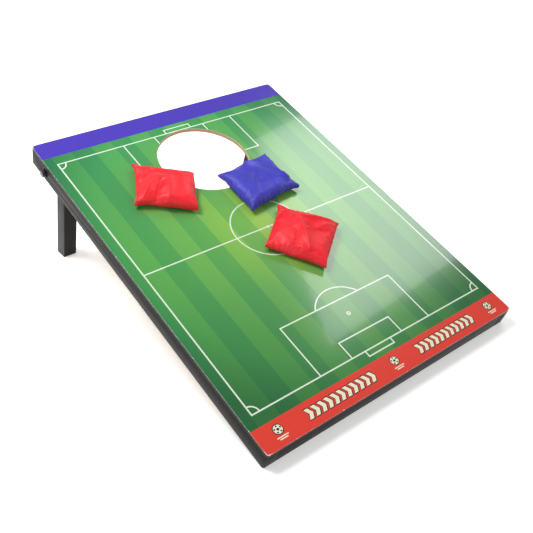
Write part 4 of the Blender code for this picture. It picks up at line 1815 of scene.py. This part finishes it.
    def rim(self, side: int, step: int, inset: int, steps: int) -> tuple[int, int]:
        """The grid place of one step along one side's stitch line.

        Args:
            side: The side's number, front, right, rear and left.
            step: The step along it.
            inset: The line's distance from the rim in steps.
            steps: How many steps a side has.

        Returns:
            The place in steps across and up the sheet.
        """
        lines = ((step, inset), (steps - inset, step), (step, steps - inset), (inset, step))
        return lines[side]


# ---------------------------------------------------------------------------
# The studio


@dataclass
class Studio:
    """A plain pale floor, a soft box overhead, a large one behind as a window, a dim room and the camera.

    Lengths are in metres and the camera's angles in degrees. The window's corners are the deck's X and
    Y, front left and right and then rear left and right. The room's light falls from the horizon's
    level to the room's own between the two heights of its dimming.
    """

    deck: DeckFrame
    floor_size: float = 12.0
    floor_tone: str = "#F4F4F2"
    floor_glow: float = 0.48
    paper_scale: float = 400.0
    room: float = 0.3
    horizon: float = 1.0
    dimming: tuple[float, float] = (0.25, 0.5)
    overhead_place: Point = (-0.65, 0.85, 1.3)
    overhead_size: tuple[float, float] = (0.6, 0.7)
    overhead_radiance: float = 19.0
    window_corners: tuple[tuple[float, float], ...] = ((1.025, 0.42), (2.3, 0.545), (1.522, 1.596),
                                                       (2.3, 1.75))
    window_height: float = 1.5
    window_glow: float = 5.2
    aim: Point = (-0.05156, -0.07914, 0.10168)
    distance: float = 1.0373
    heading: float = 39.07
    down: float = 32.97
    roll: float = 0.396
    lens: float = 49.434
    sensor: float = 36.0

    def build(self) -> None:
        """Build everything around the object."""
        self.floor()
        self.world()
        self.overhead_box()
        self.window_box()
        self.camera()
        bpy.context.scene.view_settings.view_transform = "Standard"

    def floor(self) -> None:
        """A wide plane, painted paper white."""
        deselect_all()
        bpy.ops.mesh.primitive_plane_add(size=self.floor_size)
        floor = added("studio_floor")
        edit(floor)
        bpy.ops.mesh.subdivide(number_cuts=6)
        leave_edit()
        material, tree, shader = new_material("matt_paper_sweep", 0.9, IOR=1.3)
        shader.inputs["Emission Color"].default_value = linear(self.floor_tone)
        shader.inputs["Emission Strength"].default_value = self.floor_glow
        coordinates = add_node(tree, "ShaderNodeTexCoord", {})
        fibre = add_node(tree, "ShaderNodeTexNoise", {"Vector": coordinates.outputs["Object"],
                                                      "Scale": self.paper_scale})
        shade = add_node(tree, "ShaderNodeMapRange", {"Value": fibre.outputs["Fac"], "To Min": 0.98,
                                                      "To Max": 1.02})
        colour = add_node(tree, "ShaderNodeMix", {"Factor": 1.0, MIX_A: linear(self.floor_tone),
                                                  MIX_B: shade.outputs["Result"]}, **MULTIPLIED)
        tree.links.new(colour.outputs[MIX_RESULT], shader.inputs["Base Color"])
        floor.data.materials.append(material)

    def world(self) -> None:
        """A room that is bright up to its horizon and dim above it."""
        world = bpy.data.worlds.new("room")
        world.use_nodes = True
        tree = world.node_tree
        coordinates = add_node(tree, "ShaderNodeTexCoord", {})
        axes = add_node(tree, "ShaderNodeSeparateXYZ", {"Vector": coordinates.outputs["Generated"]})
        low, high = self.dimming
        level = add_node(tree, "ShaderNodeMapRange", {"Value": axes.outputs["Z"], "From Min": low,
                                                      "From Max": high, "To Min": self.horizon,
                                                      "To Max": self.room})
        background = tree.nodes["Background"]
        background.inputs["Color"].default_value = (1.0, 1.0, 1.0, 1.0)
        tree.links.new(level.outputs["Result"], background.inputs["Strength"])
        bpy.context.scene.world = world

    def overhead_box(self) -> None:
        """A rectangular soft box that hangs level with the deck, its radiance in units of the room's."""
        width, length = self.overhead_size
        light = bpy.data.lights.new("overhead_soft_box", "AREA")
        light.shape = "RECTANGLE"
        light.size, light.size_y = width, length
        light.energy = self.overhead_radiance * math.pi * width * length
        holder = bpy.data.objects.new("overhead_soft_box", light)
        holder.matrix_world = self.deck.matrix() @ Matrix.Translation(self.overhead_place)
        bpy.context.scene.collection.objects.link(holder)

    def window_box(self) -> None:
        """A large four-sided soft box behind on the right, whose reflection lies across the film."""
        deselect_all()
        bpy.ops.mesh.primitive_plane_add(size=1.0)
        box = added("rear_soft_box")
        for vertex in box.data.vertices:
            number = (2 if vertex.co.y > 0.0 else 0) + (1 if vertex.co.x > 0.0 else 0)
            vertex.co = Vector((*self.window_corners[number], self.window_height))
        box.data.transform(self.deck.matrix())
        material, _, shader = new_material("soft_box_cloth", 1.0)
        shader.inputs["Base Color"].default_value = (0.0, 0.0, 0.0, 1.0)
        shader.inputs["Emission Color"].default_value = (1.0, 1.0, 1.0, 1.0)
        shader.inputs["Emission Strength"].default_value = self.window_glow
        box.data.materials.append(material)

    def camera(self) -> None:
        """A view from the front left through a long lens, looking down."""
        data = bpy.data.cameras.new("camera")
        data.lens = self.lens
        data.sensor_width = self.sensor
        data.clip_start = 0.05
        turn = (Matrix.Rotation(-math.radians(self.heading), 4, "Z")
                @ Matrix.Rotation(math.radians(90.0 - self.down), 4, "X")
                @ Matrix.Rotation(math.radians(self.roll), 4, "Z"))
        back = Matrix.Translation((0.0, 0.0, self.distance))
        camera = bpy.data.objects.new("camera", data)
        camera.matrix_world = Matrix.Translation(self.aim) @ turn @ back
        bpy.context.scene.collection.objects.link(camera)
        bpy.context.scene.camera = camera


def in_metres(*points: tuple[float, float]) -> tuple[tuple[float, float], ...]:
    """Turn places in millimetres into places in metres."""
    return tuple((x * MM, y * MM) for x, y in points)


def bean_bags(deck: DeckFrame) -> list[BeanBag]:
    """The three bags, each with its own corners, folds and cloth."""
    red = WovenNylon("#FA1A2A", "#FF2E3B", "#F11323")
    blue = WovenNylon("#3C3ABC", "#4443CC", "#3533AC")
    red_thread, blue_thread = "#D81824", "#2F2D98"
    left = BeanBag(deck, "bean_bag_red_left", "red_bag_left", "bag_red_left", "red_nylon_cloth",
                   corners=in_metres((-60.9, -11.9), (18.4, -60.6), (56.3, 9.1), (-19.0, 67.8)),
                   cloth=red, thread=red_thread, seed=1.3,
                   ears=(6.0 * MM, 1.5 * MM, 1.0 * MM, 5.0 * MM), puckers=(0.5, 0.3, 0.3, 0.4),
                   creases=(Crease((0.08, 0.0), (0.40, 0.74), 7.13 * MM, 0.11),
                            Crease((0.29, -0.06), (0.42, 0.58), -6.82 * MM, 0.06),
                            Crease((0.50, -0.04), (0.57, 0.70), 6.2 * MM, 0.09),
                            Crease((0.80, 0.1), (0.76, 0.9), 3.1 * MM, 0.12),
                            Crease((0.02, 0.35), (0.28, 0.90), -3.72 * MM, 0.08)))
    middle = BeanBag(deck, "bean_bag_blue", "blue_bag", "bag_blue", "blue_nylon_cloth",
                     corners=in_metres((-50.5, -50.0), (52.5, -38.3), (49.1, 50.0), (-53.9, 38.2)),
                     cloth=blue, thread=blue_thread, seed=4.7,
                     ears=(2.0 * MM, 7.0 * MM, 3.0 * MM, 4.0 * MM), puckers=(1.2, 0.9, 0.3, 0.4),
                     lump=0.6 * MM, wrinkle=0.3 * MM,
                     creases=(Crease((0.48, 0.98), (0.90, 0.12), 11.78 * MM, 0.08),
                              Crease((0.66, 0.95), (0.97, 0.35), -6.82 * MM, 0.06),
                              Crease((0.10, -0.05), (0.36, 0.42), 2.48 * MM, 0.08),
                              Crease((0.34, -0.05), (0.46, 0.38), 2.79 * MM, 0.05),
                              Crease((0.02, 0.92), (0.40, 0.55), 2.79 * MM, 0.12),
                              Crease((0.62, -0.04), (0.66, 0.30), 3.41 * MM, 0.05)))
    right = BeanBag(deck, "bean_bag_red_right", "red_bag_right", "bag_red_right", "red_nylon_cloth",
                    corners=in_metres((-66.3, 6.9), (-10.5, -68.4), (67.3, -7.2), (6.9, 69.8)),
                    cloth=red, thread=red_thread, seed=8.2,
                    ears=(1.5 * MM, 3.0 * MM, 1.0 * MM, 6.0 * MM), puckers=(0.9, 0.8, 0.4, 0.5),
                    creases=(Crease((0.30, 0.80), (0.70, 0.08), 10.54 * MM, 0.08),
                             Crease((0.28, 0.70), (0.92, 0.90), 7.44 * MM, 0.06),
                             Crease((0.52, 0.46), (0.98, 0.84), 6.82 * MM, 0.05),
                             Crease((0.50, 0.62), (0.90, 0.60), -5.58 * MM, 0.05),
                             Crease((0.05, 0.30), (0.42, 0.10), 4.96 * MM, 0.05),
                             Crease((0.45, 0.10), (0.40, 0.50), -4.96 * MM, 0.06)))
    return [left, middle, right]


def main() -> None:
    """Load the frame, dress the board, its legs and hardware, add the bags, and light the scene."""
    logging.basicConfig(level=logging.INFO, format="%(name)s: %(message)s")
    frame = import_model()
    deck = DeckFrame.from_cad(frame)
    Studio(deck).build()
    paint = SatinPaint()
    along = paint.material("satin_black_paint_on_rails", deck, 1)
    across = paint.material("satin_black_paint_on_cross_rails", deck, 0)
    legs = paint.material("satin_black_paint_on_legs", deck, 2)
    film = PrintedFilm(deck)
    film.build()
    PitchMarkings(deck, film).build()
    BandArtwork(deck).build()
    TopBoard(deck, film).build(along)
    joinery = Joinery(deck)
    joinery.build(along, across, legs)
    PivotHardware(deck, joinery).build()
    WoodScrews(deck).build()
    for bag in bean_bags(deck):
        bag.build()


if __name__ == "__main__":
    main()
